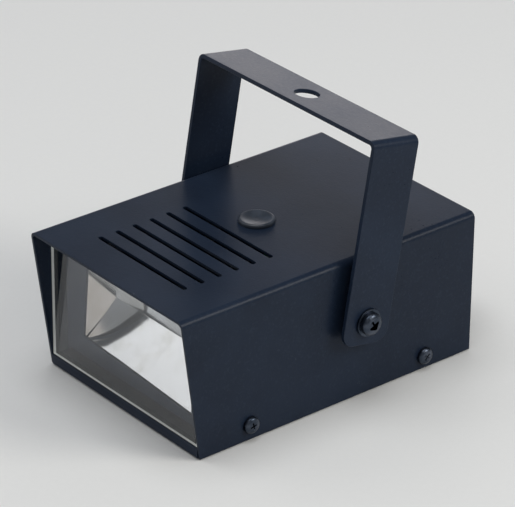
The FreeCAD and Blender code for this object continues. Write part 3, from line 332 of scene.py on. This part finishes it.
def makeCamera():
    turn, rise, roll = (math.radians(cameraLook[key]) for key in ("turn", "rise", "roll"))
    back = Vector((math.sin(turn) * math.cos(rise), -math.cos(turn) * math.cos(rise), math.sin(rise)))
    level = (-back).cross(Vector((0, 0, 1))).normalized()
    upward = level.cross(-back)
    across = math.cos(roll) * level + math.sin(roll) * upward
    upward = math.cos(roll) * upward - math.sin(roll) * level
    deselectAll()
    bpy.ops.object.camera_add()
    camera = bpy.context.object
    camera.name = "photoCamera"
    camera.matrix_world = Matrix.Translation(scaled(cameraLook["target"]) + back * cameraLook["away"] * mm) @ \
        Matrix((across, upward, back)).transposed().to_4x4()
    camera.data.sensor_width = 36
    camera.data.sensor_fit = "HORIZONTAL"
    camera.data.lens = cameraLook["lens"]
    camera.data.clip_start = 0.05
    camera.data.clip_end = 50
    bpy.context.scene.camera = camera


makeCamera()
print("camera set")


# Finishes. Colours are written from 0 to 255.

powderCoat = {
    "colour": (30, 41, 58),
    "deeper": (26, 36, 52),
    "dusty": (42, 53, 69),
    "bare": (150, 154, 160),
    "grain": 0.75,        # size of the coat's texture
    "relief": 0.03,
    "rough": 0.33,
    "sheen": 0.15,
}


def makePowder(name, tint):
    finish = Finish(name, powderCoat["colour"], IOR=1.5, Specular_IOR_Level=powderCoat["sheen"])
    shade = [tuple(level * tint for level in powderCoat[key]) for key in ("deeper", "colour", "dusty")]
    cloud = finish.noise(26, detail=4)
    speckle = finish.noise(powderCoat["grain"] * 1.3, detail=2, shift=(0.3, 0.1, 0.2))
    body = finish.blend(finish.between(cloud, 0.35, 0.68), shade[0], shade[1])
    body = finish.blend(finish.between(speckle, 0.52, 0.75) * 0.45, body, shade[2])
    scuffs = finish.noise(3.2, detail=5, rough=0.7, stretch=(1, 1, 1), shift=(0.7, 0.2, 0.5))
    rare = finish.noise(17, detail=2, shift=(0.1, 0.6, 0.4))
    worn = finish.between(scuffs, 0.69, 0.74) * finish.between(rare, 0.56, 0.66)
    body = finish.blend(worn * 0.35, body, powderCoat["bare"])
    finish.feed(Base_Color=body)
    peel = finish.noise(powderCoat["grain"], detail=2, rough=0.5)
    waves = finish.noise(2.6, detail=1)
    finish.feed(Roughness=powderCoat["rough"] + (speckle - 0.5) * 0.18 + (cloud - 0.5) * 0.12 - worn * 0.1)
    finish.bump(peel * 0.8 + waves * 0.5, powderCoat["relief"])
    return finish.material


def makeMetal(name, colour, stain, rough, grain=0.4, streak=(1, 1, 1), relief=0.004):
    finish = Finish(name, colour, Metallic=1.0)
    patches = finish.noise(6, detail=4)
    lines = finish.noise(grain, detail=3, stretch=streak)
    finish.feed(Base_Color=finish.blend(finish.between(patches, 0.42, 0.75), colour, stain))
    finish.feed(Roughness=rough + (patches - 0.5) * 0.2 + (lines - 0.5) * 0.12)
    finish.bump(lines, relief)
    return finish.material


def makePlastic(name, colour, rough, grain=0.5, relief=0.01, faded=1.25, **fixed):
    finish = Finish(name, colour, **fixed)
    patches = finish.noise(5, detail=4)
    fine = finish.noise(grain, detail=2)
    paler = tuple(min(255, level * faded + 4) for level in colour)
    finish.feed(Base_Color=finish.blend(finish.between(patches, 0.38, 0.72), colour, paler))
    finish.feed(Roughness=rough + (patches - 0.5) * 0.16 + (fine - 0.5) * 0.1)
    finish.bump(fine, relief)
    return finish.material


def makeMirror():
    finish = Finish("mirrorSheet", (232, 230, 226), Metallic=1.0)
    haze = finish.noise(7, detail=4)
    rolled = finish.noise(0.5, detail=2, stretch=(0.03, 1, 1))
    finish.feed(Base_Color=finish.blend(finish.between(haze, 0.4, 0.8), (236, 234, 230), (222, 219, 212)))
    finish.feed(Roughness=0.055 + finish.between(haze, 0.5, 0.8) * 0.04 + rolled * 0.04)
    finish.bump(finish.noise(9, detail=1) + rolled * 0.05, 0.03)
    return finish.material


def makeClear(name, colour, ior, rough, gloss=0.5):
    finish = Finish(name, colour, IOR=ior, Transmission_Weight=1.0, Specular_IOR_Level=gloss)
    smear = finish.noise(14, detail=4)
    finish.feed(Roughness=rough + finish.between(smear, 0.5, 0.8) * 0.03)
    finish.bump(finish.noise(30, detail=1), 0.01)
    return finish.material


# Strength of the painted glow on the clear plate's edges.
paintedEdgeGlow = 0.2


def makeFrosted():
    # The edges are given a painted glow, an emission that stands in for the light running inside the plate, so they
    # look lit.
    finish = Finish("sawnEdgePaintedGlow", (226, 230, 228), Roughness=0.5, Emission_Color=linear((226, 226, 220)),
                    Emission_Strength=paintedEdgeGlow)
    lines = finish.noise(0.35, detail=3)
    finish.feed(Base_Color=finish.blend(lines, (186, 192, 192), (236, 238, 234)))
    finish.bump(lines, 0.02)
    return finish.material


def makeLaminate():
    finish = Finish("boardLaminate", (28, 84, 52))
    weave = finish.add("ShaderNodeTexBrick", {}, {"Vector": finish.place, "Scale": 900.0, "Mortar Size": 0.03,
                                                  "Color1": linear((24, 78, 48)), "Color2": linear((34, 92, 58)),
                                                  "Mortar": linear((46, 106, 70))}, "Color")
    tracks = finish.between(finish.cells(4.5, 0.6, "Distance"), 0.18, 0.2)
    finish.feed(Base_Color=finish.blend(tracks, (44, 118, 70), weave))
    finish.feed(Roughness=0.36 + finish.noise(3) * 0.2)
    finish.bump(1 - tracks, 0.03)
    return finish.material


def makeWound():
    finish = Finish("coilTape", (196, 150, 52))
    turns = finish.add("ShaderNodeTexWave", {"bands_direction": "Z"}, {"Vector": finish.place, "Scale": 260.0,
                                                                      "Distortion": 0.6}, "Fac")
    finish.feed(Base_Color=finish.blend(turns, (170, 120, 36), (214, 170, 76)))
    finish.feed(Roughness=0.38 + turns * 0.15)
    finish.bump(turns, 0.05)
    return finish.material


def makeSleeve():
    # Capacitor cans: a printed stripe down the side and a bare aluminium end.
    finish = Finish("canSleeve", (26, 34, 66))
    level = finish.axis("Z")
    across = finish.axis("X")
    stripe = (across < -5.2) * (level < 36)
    top = level > 38.2
    shrink = finish.noise(2.2, detail=3)
    colour = finish.blend(stripe * 0.8, (26, 34, 66), (176, 180, 188))
    finish.feed(Base_Color=finish.blend(top, colour, (176, 178, 180)))
    finish.feed(Metallic=top * 0.9)
    finish.feed(Roughness=0.32 + shrink * 0.15)
    finish.bump(shrink, 0.03)
    return finish.material


finishes = {
    "case": makePowder("powderCase", 1.0),
    # The panel's coat is the case's powder coat painted 1.35 times lighter: painted light standing in for the
    # reflection of the clear plate in front of it.
    "dark": makePowder("powderPanelPaintedLight", 1.35),
    "strap": makePowder("powderStrap", 1.05),
    "mirror": makeMirror(),
    "clear": makeClear("clearSheet", (248, 251, 255), 1.49, 0.012, gloss=0.22),
    # The plate's edges: frosted, with a painted glow.
    "sawnGlow": makeFrosted(),
    "quartz": makeClear("quartzTube", (246, 248, 250), 1.46, 0.02),
    "fuseGlass": makeClear("fuseGlass", (240, 246, 244), 1.5, 0.02),
    "nylon": makePlastic("blackNylon", (26, 27, 29), 0.42, faded=1.35),
    "knob": makePlastic("knobPlastic", (24, 25, 27), 0.3, grain=0.3, faded=1.3),
    "foam": makePlastic("foamRubber", (34, 35, 37), 0.85, grain=0.8, relief=0.12),
    "silicone": makePlastic("silicone", (204, 198, 184), 0.5, faded=1.04),
    "plug": makePlastic("slateNylon", (38, 45, 55), 0.4, faded=1.3),
    "wireRed": makePlastic("redLead", (168, 36, 30), 0.4, faded=1.1),
    "wireGrey": makePlastic("greyLead", (118, 120, 124), 0.45, faded=1.1),
    "wireGreen": makePlastic("greenLead", (52, 128, 56), 0.42, faded=1.15),
    "sleeve": makeSleeve(),
    "ceramic": makePlastic("whiteCeramic", (214, 210, 198), 0.72, grain=0.4, relief=0.03, faded=1.08),
    "epoxy": makePlastic("blackEpoxy", (28, 28, 30), 0.46, faded=1.3),
    "film": makePlastic("filmCase", (176, 52, 34), 0.34, faded=1.1),
    "terminal": makePlastic("greenTerminal", (36, 122, 74), 0.4, faded=1.15),
    "laminate": makeLaminate(),
    "tape": makeWound(),
    "zinc": makeMetal("zincPlate", (172, 176, 182), (140, 142, 140), 0.34),
    "blackScrew": makeMetal("darkScrew", (60, 68, 80), (96, 102, 114), 0.34, relief=0.01),
    "nickel": makeMetal("nickelPlate", (196, 190, 172), (168, 160, 140), 0.3),
    "wire": makeMetal("nickelWire", (200, 198, 190), (170, 168, 160), 0.26),
    "potCase": makeMetal("pressedCase", (158, 162, 166), (128, 132, 132), 0.38),
    "shaft": makeMetal("turnedShaft", (186, 188, 190), (158, 160, 160), 0.28),
    "ink": makePlastic("panelInk", (214, 216, 214), 0.6, faded=1.04),
}
print("finishes ready")


# Cover: one sheet folded over the top and both sides, its hood cut at a rake

cover = {
    "half": 40.7,
    "front": -65.0,
    "rear": 60.0,
    "lift": 0.3,
    "high": 52.7,
    "gauge": 1.0,
    "bend": 2.3,
    "rake": 7.5,
    "slotHalf": 23.25,
    "slotRadius": 0.95,
    "slotFirst": -49.6,
    "slotPitch": 7.1,
    "slots": 6,
    "plug": (0, -1.5, 5.4),             # place and hole radius
    "pivot": (8.9, 30.3, 2.1),          # y, z and hole radius
    "sideScrews": ((-36.8, 5.9, 1.6), (38.9, 5.2, 1.6)),
}


def makeCover():
    half, high = cover["half"], cover["high"]
    shell = addBlock("coverShell", (-half, cover["front"], cover["lift"]), (half, cover["rear"], high))
    pick(shell, "FACE", lambda spot, normal: abs(normal.y) > 0.9 or normal.z < -0.9)
    bpy.ops.mesh.delete(type="FACE")
    pick(shell, "EDGE", lambda a, b: a.z > high - 0.1 and b.z > high - 0.1 and abs(a.x - b.x) < 0.1)
    bpy.ops.mesh.bevel(offset=cover["bend"] * mm, segments=8, affect="EDGES")
    bpy.ops.mesh.select_all(action="SELECT")
    slope = Vector((0, -cover["high"], -cover["rake"])).normalized()
    bpy.ops.mesh.bisect(plane_co=scaled((0, cover["front"], high)), plane_no=slope, clear_outer=True)
    leaveEdit()
    modify(shell, "SOLIDIFY", thickness=cover["gauge"] * mm, offset=-1, use_even_offset=True)
    slots = []
    for count in range(cover["slots"]):
        along = cover["slotFirst"] + count * cover["slotPitch"]
        slot = addRod(f"slotCutter{count}", "z", (0, along, high), cover["slotRadius"], 6, 32)
        reach = cover["slotHalf"] - cover["slotRadius"]
        for side in (-1, 1):
            pick(slot, "VERT", lambda spot, side=side: spot.x * side > 0.05)
            bpy.ops.transform.translate(value=(side * reach * mm, 0, 0))
            leaveEdit()
        slots.append(slot)
    cutWith(shell, joinPieces(*slots))
    across, along, radius = cover["plug"]
    holes = [addRod("plugCutter", "z", (across, along, high), radius, 6, 64)]
    along, level, radius = cover["pivot"]
    holes.append(addRod("pivotCutter", "x", (0, along, level), radius, 2.2 * half, 40))
    for along, level, radius in cover["sideScrews"]:
        holes.append(addRod("screwCutter", "x", (0, along, level), radius, 2.2 * half, 32))
    cutWith(shell, *holes)
    tidyMesh(shell, merge=0.001, flat=0.5)
    softenEdges(shell, 0.16, 2, 40)
    settle(shell, "housing", "powder_coat", finishes["case"], "cover_shell")


makeCover()
print("cover modelled")


# Tilting strap, drawn upright about its pivot and leaned back afterwards

strap = {
    "half": 45.4,
    "wide": 19.6,
    "gauge": 1.5,
    "reach": 64.1,
    "bend": 2.6,
    "hole": 4.3,
    "pivotHole": 2.03,
    "pivot": (0, 8.9, 30.3),
    "lean": 9.6,
    "under": 8.2,         # how far the legs reach below the pivot
    "corner": 5.0,
}


def makeStrap():
    half, wide, reach = strap["half"], strap["wide"], strap["reach"]
    pivot = Vector(strap["pivot"])
    low = pivot + Vector((-half, -wide / 2, -strap["under"]))
    high = pivot + Vector((half, wide / 2, reach))
    strip = addBlock("bracketStrap", low, high)
    pick(strip, "FACE", lambda spot, normal: abs(normal.y) > 0.9 or normal.z < -0.9)
    bpy.ops.mesh.delete(type="FACE")
    pick(strip, "EDGE", lambda a, b: min(a.z, b.z) > high.z - 0.1 and abs(a.x - b.x) < 0.1)
    bpy.ops.mesh.bevel(offset=strap["bend"] * mm, segments=10, affect="EDGES")
    pick(strip, "VERT", lambda spot: spot.z < low.z + 0.1)
    bpy.ops.mesh.bevel(offset=strap["corner"] * mm, segments=12, affect="VERTICES")
    leaveEdit()
    modify(strip, "SOLIDIFY", thickness=strap["gauge"] * mm, offset=-1, use_even_offset=True)
    top = pivot + Vector((0, 0, reach))
    cutWith(strip, addRod("strapCutter", "z", top, strap["hole"], 8, 64),
            addRod("pinCutter", "x", pivot, strap["pivotHole"], 2.2 * half, 40))
    tidyMesh(strip, merge=0.001, flat=0.5)
    softenEdges(strip, 0.22, 3, 40)
    activate(strip)
    bpy.ops.transform.rotate(value=math.radians(strap["lean"]), orient_axis="X", center_override=pivot * mm)
    applyPlace(strip)
    settle(strip, "bracket", "powder_coat_bracket", finishes["strap"], "mounting_bracket")


makeStrap()
print("strap modelled")


# Pan head screws with a cross recess

screws = {
    "pivot": {"head": 4.0, "high": 2.5, "shank": 2.0, "long": 11.6, "tilt": 28},
    "side": {"head": 3.0, "high": 1.9, "shank": 1.5, "long": 7.5, "tilt": 12},
    "rings": ((0.27, 0.93), (0.2, 0.76), (0.08, 0.5), (0.0, 0.2)),   # rise and narrowing of the dome
}


def makeScrew(name, kind):
    # The head stands on the plane Z zero, its shank hangs below.
    size = screws[kind]
    head, high = size["head"], size["high"]
    screw = addRod(name, "z", (0, 0, high * 0.225), head, high * 0.45, 48)
    pick(screw, "FACE", lambda spot, normal: normal.z > 0.9)
    wide = 1.0
    for rise, share in screws["rings"]:
        bpy.ops.mesh.extrude_region_move(TRANSFORM_OT_translate={"value": (0, 0, rise * high * mm)})
        bpy.ops.transform.resize(value=(share / wide, share / wide, 1), center_override=(0, 0, 0))
        wide = share
    leaveEdit()
    for turn in (0, 90):
        deep = high * 0.6
        blade = addBlock("recessCutter", (-head * 0.62, -head * 0.1, high - deep), (head * 0.62, head * 0.1, high + 1))
        pick(blade, "VERT", lambda spot: spot.z < high - deep + 0.1)
        bpy.ops.transform.resize(value=(0.42, 0.7, 1), center_override=(0, 0, 0))
        leaveEdit()
        blade.rotation_euler.z = math.radians(turn)
        applyPlace(blade)
        cutWith(screw, blade)
    tidyMesh(screw, merge=0.001, flat=0.4)
    softenEdges(screw, 0.09, 2, 38)
    shank = addRod("shank", "z", (0, 0, -size["long"] / 2), size["shank"], size["long"], 32)
    pick(shank, "EDGE", lambda a, b: max(a.z, b.z) < 0.1 - size["long"])
    bpy.ops.mesh.bevel(offset=0.4 * mm, segments=1, affect="EDGES")
    leaveEdit()
    softenEdges(shank, 0.05, 1, 30)
    return joinPieces(screw, shank)


def putScrews(name, kind, spots, slot, finish, node):
    # Each screw is turned a different way, as a hand leaves them.
    first = makeScrew(name, kind)
    placed = []
    for count, (axis, spot) in enumerate(spots):
        screw = copyOf(first, f"{name}Copy{count}")
        screw.matrix_world = Matrix.Translation(scaled(spot)) @ \
            Matrix.Rotation(layAlong[axis][1], 4, "Y") @ Matrix.Rotation(layAlong[axis][0], 4, "X") @ \
            Matrix.Rotation(math.radians(screws[kind]["tilt"] + 37 * count), 4, "Z")
        applyPlace(screw)
        placed.append(screw)
    bpy.data.objects.remove(first)
    whole = joinPieces(*placed)
    whole.name = name
    settle(whole, "housing", slot, finish, node)


def makeScrews():
    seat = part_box("pivot_screws")[1][0] / mm - screws["pivot"]["high"]
    screws["pivot"]["long"] = seat - 35.0
    putScrews("pivotScrews", "pivot", [(axis, (side * seat, 8.9, 30.3)) for axis, side in (("x", 1), ("-x", -1))],
              "black_screw", finishes["blackScrew"], "pivot_screws")
    spots = []
    for axis, side in (("x", 1), ("-x", -1)):
        for along, level, _ in cover["sideScrews"]:
            spots.append((axis, (side * cover["half"], along, level)))
    putScrews("coverScrews", "side", spots, "black_screw", finishes["blackScrew"], "cover_screws")


makeScrews()
print("screws in place")


# Snap-in plug in the top, with a dished cap

plug = {
    "spot": (0, -1.5, 52.7),
    "cap": 6.3,
    "stem": 5.3,
    "proud": 1.45,
    "dish": 1.0,
    "rim": 1.1,
    "rings": 8,
}


def makePlug():
    cap, proud, rim = plug["cap"], plug["proud"], plug["rim"]
    piece = addRod("holePlug", "z", (0, 0, proud * 0.2), cap, proud * 0.4, 64)
    pick(piece, "FACE", lambda spot, normal: normal.z > 0.9)
    inner = cap - rim
    steps = [(proud * 0.35, cap - 0.16), (proud * 0.18, cap - 0.5), (proud * 0.06, cap - 0.85)]
    level = 0
    for count in range(1, plug["rings"]):
        radius = inner * (1 - count / plug["rings"])
        sunk = plug["dish"] * (1 - (radius / inner) ** 2)
        steps.append((level - sunk, radius))
        level = sunk
    before = cap
    for rise, radius in steps:
        bpy.ops.mesh.extrude_region_move(TRANSFORM_OT_translate={"value": (0, 0, rise * mm)})
        bpy.ops.transform.resize(value=(radius / before, radius / before, 1), center_override=(0, 0, 0))
        before = radius
    pick(piece, "FACE", lambda spot, normal: normal.z < -0.9)
    share = plug["stem"] / cap
    bpy.ops.mesh.extrude_region_move(TRANSFORM_OT_translate={"value": (0, 0, 0)})
    bpy.ops.transform.resize(value=(share, share, 1), center_override=(0, 0, 0))
    bpy.ops.mesh.extrude_region_move(TRANSFORM_OT_translate={"value": (0, 0, -1.1 * mm)})
    for drop, grow in ((-0.5, 1.09), (-1.1, 0.9)):
        bpy.ops.mesh.extrude_region_move(TRANSFORM_OT_translate={"value": (0, 0, drop * mm)})
        bpy.ops.transform.resize(value=(grow, grow, 1), center_override=(0, 0, 0))
    bpy.ops.mesh.extrude_region_move(TRANSFORM_OT_translate={"value": (0, 0, 0)})
    bpy.ops.transform.resize(value=(0.82, 0.82, 1), center_override=(0, 0, 0))
    bpy.ops.mesh.extrude_region_move(TRANSFORM_OT_translate={"value": (0, 0, 1.5 * mm)})
    leaveEdit()
    softenEdges(piece, 0.1, 2, 30)
    piece.location = scaled(plug["spot"])
    applyPlace(piece)
    settle(piece, "housing", "black_nylon", finishes["plug"], "hole_plug")


makePlug()
print("plug in place")


# Clear plate, with sawn edges that carry a painted glow and a polished chamfer round the front

plate = {
    "half": 39.5,
    "front": -57.9,
    "back": -54.9,
    "foot": 4.05,
    "top": 50.5,
    "chamfer": 0.45,
}


def makePlate():
    half = plate["half"]
    sheet = addBlock("clearPlate", (-half, plate["front"], plate["foot"]), (half, plate["back"], plate["top"]))
    front = plate["front"]
    pick(sheet, "EDGE", lambda a, b: max(a.y, b.y) < front + 0.1)
    bpy.ops.mesh.bevel(offset=plate["chamfer"] * mm, segments=1, affect="EDGES")
    pick(sheet, "EDGE", lambda a, b: min(a.y, b.y) > plate["back"] - 0.1)
    bpy.ops.mesh.bevel(offset=0.12 * mm, segments=2, affect="EDGES")
    leaveEdit()
    settle(sheet, "housing", "clear_acrylic", finishes["clear"], "window_lens")
    # The edge faces take the frosted finish with its painted glow.
    sheet.data.materials.append(finishes["sawnGlow"])
    for face in sheet.data.polygons:
        if abs(face.normal.y) < 0.9:
            face.material_index = 1


makePlate()
print("clear plate in place")


# Mirror trough: the lower wall is dished, then a rear wall and a roof that opens forward

trough = {
    "half": 29.3,
    "front": -49.4,
    "foot": 12.2,
    "fall": 2.8,          # how much lower the foot is at its right end
    "bend": -12.0,        # where the foot starts to fall
    "back": -36.9,
    "corner": 23.9,
    "top": 42.0,
    "roof": 44.5,
    "flange": 5.5,
    "gauge": 0.5,
    "dish": 0.47,         # how far the lower wall sags below a straight one
    "runs": 12,
    "wireHole": (38.4, 1.4),
}


def makeTrough():
    half, front, back = trough["half"], trough["front"], trough["back"]
    wall = Vector((0, back - front, trough["corner"] - trough["foot"]))
    outward = Vector((0, wall.z, -wall.y)).normalized()
    profile = [Vector((0, front, trough["foot"]))]
    for count in range(1, trough["runs"]):
        share = count / trough["runs"]
        profile.append(profile[0] + wall * share + outward * trough["dish"] * 4 * share * (1 - share))
    profile += [Vector((0, back, trough[key])) for key in ("corner", "top")]
    profile += [Vector((0, front, trough["roof"])), Vector((0, front, trough["roof"] + trough["flange"]))]
    # The lower flange is drawn first, and its upper edge is drawn on along the profile.
    sheet = addBlock("reflectorTrough", (-half, front, trough["foot"] - trough["flange"]),
                     (half, front + 1, trough["foot"]))
    pick(sheet, "FACE", lambda spot, normal: normal.y > -0.9)
    bpy.ops.mesh.delete(type="FACE")
    pick(sheet, "EDGE", lambda a, b: abs(a.x - b.x) > half)
    bpy.ops.mesh.subdivide(number_cuts=1)
    pick(sheet, "VERT", lambda spot: abs(spot.x) < 0.01)
    bpy.ops.transform.translate(value=(trough["bend"] * mm, 0, 0))
    pick(sheet, "EDGE", lambda a, b: min(a.z, b.z) > trough["foot"] - 0.01)
    for before, after in zip(profile, profile[1:]):
        bpy.ops.mesh.extrude_region_move(TRANSFORM_OT_translate={"value": (after - before) * mm})
    bpy.ops.mesh.select_all(action="SELECT")
    bpy.ops.mesh.remove_doubles(threshold=0.001 * mm)
    # Right of the bend the foot falls with the opening, and the corner stays level.
    for count, spot in enumerate(profile[:trough["runs"]]):
        share = 1 - count / trough["runs"]
        pick(sheet, "VERT", lambda place, spot=spot + Vector((half, 0, 0)): (place - spot).length < 0.05)
        bpy.ops.transform.translate(value=(0, 0, -share * trough["fall"] * mm))
    leaveEdit()
    modify(sheet, "SOLIDIFY", thickness=trough["gauge"] * mm, offset=-1, use_even_offset=True)
    level, radius = trough["wireHole"]
    cutWith(sheet, addRod("wireCutter", "y", (0, back, level), radius, 4, 32))
    softenEdges(sheet, 0.06, 2, 35)
    settle(sheet, "housing", "mirror_aluminium", finishes["mirror"], "reflector_trough")


makeTrough()
print("mirror trough in place")


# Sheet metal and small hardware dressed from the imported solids: broken edges and their own finish

dressed = (
    # node, piece, edge width, body, slot, finish
    ("base_tray", "baseTray", 0.16, "housing", "powder_coat", "case"),
    ("pivot_washers", "pivotWashers", 0.1, "housing", "black_screw", "blackScrew"),
    ("pivot_spacers", "pivotSpacers", 0.2, "housing", "black_nylon", "nylon"),
    ("rate_knob", "rateKnob", 0.2, "rate_control", "knob_plastic", "knob"),
    ("cable_gland", "cableGland", 0.25, "housing", "black_nylon", "nylon"),
    ("rate_pot_nut", "potNut", 0.12, "housing", "zinc_screw", "zinc"),
    ("earth_screw", "earthScrew", 0.1, "housing", "zinc_screw", "zinc"),
    ("reservoir_capacitors", "reservoirCans", 0.25, "housing", "capacitor_sleeve", "sleeve"),
)


def dressSolids():
    for node, name, width, body, slot, finish in dressed:
        settle(refined(node, name, width), body, slot, finishes[finish], node)
        print("dressed", name)


dressSolids()

opening = {
    # place of a corner in X and Z, and how far it is drawn
    "corners": ((-29.0, 14.13, -0.6, -0.7), (29.0, 9.87, 0.0, -0.6)),
    "endFeet": ((-30.2, -0.6), (30.2, -4.4)),     # side of an end plate and how far its foot is drawn
    "flare": 3.5,         # degrees that the end plates open forward
    "hinge": -49.4,
}


def makePanel():
    panel = refined("front_panel", "frontPanel", 0.18)
    for across, level, shift, drop in opening["corners"]:
        pick(panel, "VERT", lambda spot, across=across, level=level: math.hypot(spot.x - across, spot.z - level) < 0.8)
        bpy.ops.transform.translate(value=(shift * mm, 0, drop * mm))
        leaveEdit()
    # The panel's lighter coat is painted reflection of the clear plate.
    settle(panel, "housing", "powder_coat_dark", finishes["dark"], "front_panel")


def makeEnds():
    ends = refined("reflector_end_plates", "reflectorEnds", 0.08)
    for across, drop in opening["endFeet"]:
        pick(ends, "VERT", lambda spot, across=across: abs(spot.x - across) < 1 and spot.z < 12.5)
        bpy.ops.transform.translate(value=(0, 0, drop * mm))
        pick(ends, "VERT", lambda spot, across=across: abs(spot.x - across) < 1)
        side = math.copysign(1, across)
        bpy.ops.transform.rotate(value=-side * math.radians(opening["flare"]), orient_axis="Z",
                                 center_override=scaled((across, opening["hinge"], 0)))
        leaveEdit()
    settle(ends, "housing", "mirror_aluminium", finishes["mirror"], "reflector_end_plates")


makePanel()
makeEnds()
print("panel and end plates dressed")

carried = {
    "window_pads": "foam", "xenon_tube": "quartz", "tube_electrodes": "wire", "tube_grommets": "silicone",
    "tube_leads": "wireRed", "trigger_wire": "wire", "circuit_board": "laminate", "board_standoffs": "nickel",
    "board_screws": "zinc", "ballast_resistor": "ceramic", "rectifier_diodes": "epoxy", "trigger_coil": "tape",
    "trigger_capacitor": "film", "trigger_thyristor": "epoxy", "fuse": "fuseGlass", "fuse_clips": "nickel",
    "terminal_block": "terminal", "terminal_screws": "zinc", "rate_pot_body": "potCase",
    "rate_pot_shaft": "shaft", "rate_wires": "wireGrey", "gland_nut": "nylon", "earth_tag": "nickel",
    "earth_nut": "zinc", "earth_wire": "wireGreen", "cover_nuts": "zinc", "pivot_nuts": "zinc",
}
for node, finish in carried.items():
    solid = nodes[node]
    if not solid.material_slots:
        solid.data.materials.append(finishes[finish])
    for place in solid.material_slots:
        place.material = finishes[finish]
print("packed solids finished")


# Scale printed round the rate knob

scale = {
    "middle": (18.0, 59.0, 30.0),
    "inner": 9.6,
    "outer": 11.0,
    "numbers": 12.9,
    "size": 2.3,
    "wide": 0.28,
    "thick": 0.05,
    "steps": 10,
    "span": 280.0,
}


def makeScale():
    middle = Vector(scale["middle"])
    marks = []
    for count in range(scale["steps"] + 1):
        turn = math.radians(-scale["span"] / 2 + scale["span"] * count / scale["steps"])
        # Seen from behind, the scale climbs clockwise.
        outward = Vector((-math.sin(turn), 0, math.cos(turn)))
        tick = addBlock(f"tick{count}", (-scale["wide"] / 2, 0, scale["inner"]),
                        (scale["wide"] / 2, scale["thick"], scale["outer"]))
        pick(tick, "EDGE", lambda a, b: abs(a.y - b.y) > 0.01)
        bpy.ops.mesh.bevel(offset=0.08 * mm, segments=2, affect="EDGES")
        leaveEdit()
        tick.rotation_euler.y = -turn
        tick.location = middle * mm
        applyPlace(tick)
        marks.append(tick)
        deselectAll()
        bpy.ops.object.text_add()
        number = bpy.context.object
        number.data.body = str(count)
        number.data.size = scale["size"] * mm
        number.data.align_x = "CENTER"
        number.data.align_y = "CENTER"
        number.data.extrude = scale["thick"] * mm / 2
        number.data.resolution_u = 3
        activate(number)
        bpy.ops.object.convert(target="MESH")
        number.rotation_euler = (math.pi / 2, 0, math.pi)
        number.location = (middle + outward * scale["numbers"] + Vector((0, scale["thick"] / 2, 0))) * mm
        applyPlace(number)
        marks.append(number)
    whole = joinPieces(*marks)
    whole.name = "rateScale"
    pick(whole, "VERT", lambda spot: True)
    bpy.ops.mesh.remove_doubles(threshold=0.0005 * mm)
    leaveEdit()
    settle(whole, "housing", "powder_coat", finishes["ink"])


makeScale()
print("scale printed")


# Floor, backdrop and light

studio = {
    "floor": (236, 236, 234),
    "world": (226, 230, 236),
    "strength": 0.3,
    "lamps": (
        # name, direction from the object, distance, width, height, watts, colour
        ("softBack", (-0.70, 0.68, 0.18), 1250, 440, 440, 1.05, (255, 250, 252)),
        ("softRight", (0.70, 0.46, 0.58), 1250, 620, 620, 6.0, (255, 252, 246)),
        ("softTop", (-0.05, -0.1, 1.0), 1300, 900, 900, 7.0, (250, 252, 255)),
        ("paleCard", (-0.683, -0.503, 0.529), 1300, 950, 950, 1.9, (255, 252, 248)),
        ("frontCard", (0.74, -0.427, 0.53), 1400, 420, 1000, 0.55, (255, 240, 226)),
    ),
}


def makeStage():
    deselectAll()
    bpy.ops.mesh.primitive_plane_add(size=12, location=(0, 0, -0.0002))
    floor = bpy.context.object
    floor.name = "studioFloor"
    finish = Finish("studioPaper", studio["floor"], Roughness=0.9)
    grain = finish.noise(2.0, detail=2)
    finish.feed(Base_Color=finish.blend(grain, studio["floor"], tuple(level - 3 for level in studio["floor"])))
    floor.data.materials.append(finish.material)
    applyPlace(floor)


def makeWorld():
    world = bpy.data.worlds.new("studioWorld")
    bpy.context.scene.world = world
    world.use_nodes = True
    back = world.node_tree.nodes["Background"]
    back.inputs["Color"].default_value = linear(studio["world"])
    back.inputs["Strength"].default_value = studio["strength"]


def makeLamps():
    for name, direction, away, wide, high, watts, colour in studio["lamps"]:
        deselectAll()
        spot = Vector(direction).normalized() * away * mm + Vector((0, 0, 0.03))
        bpy.ops.object.light_add(type="AREA", location=spot)
        lamp = bpy.context.object
        lamp.name = name
        lamp.data.shape = "ELLIPSE" if wide == high else "RECTANGLE"
        lamp.data.size = wide * mm
        lamp.data.size_y = high * mm
        lamp.data.energy = watts
        lamp.data.color = linear(colour)[:3]
        aim = Vector((0, 0, 0.03)) - lamp.location
        lamp.rotation_euler = aim.to_track_quat("-Z", "Y").to_euler()


makeStage()
makeWorld()
makeLamps()
bpy.context.scene.view_settings.view_transform = "Standard"
print("studio lit")
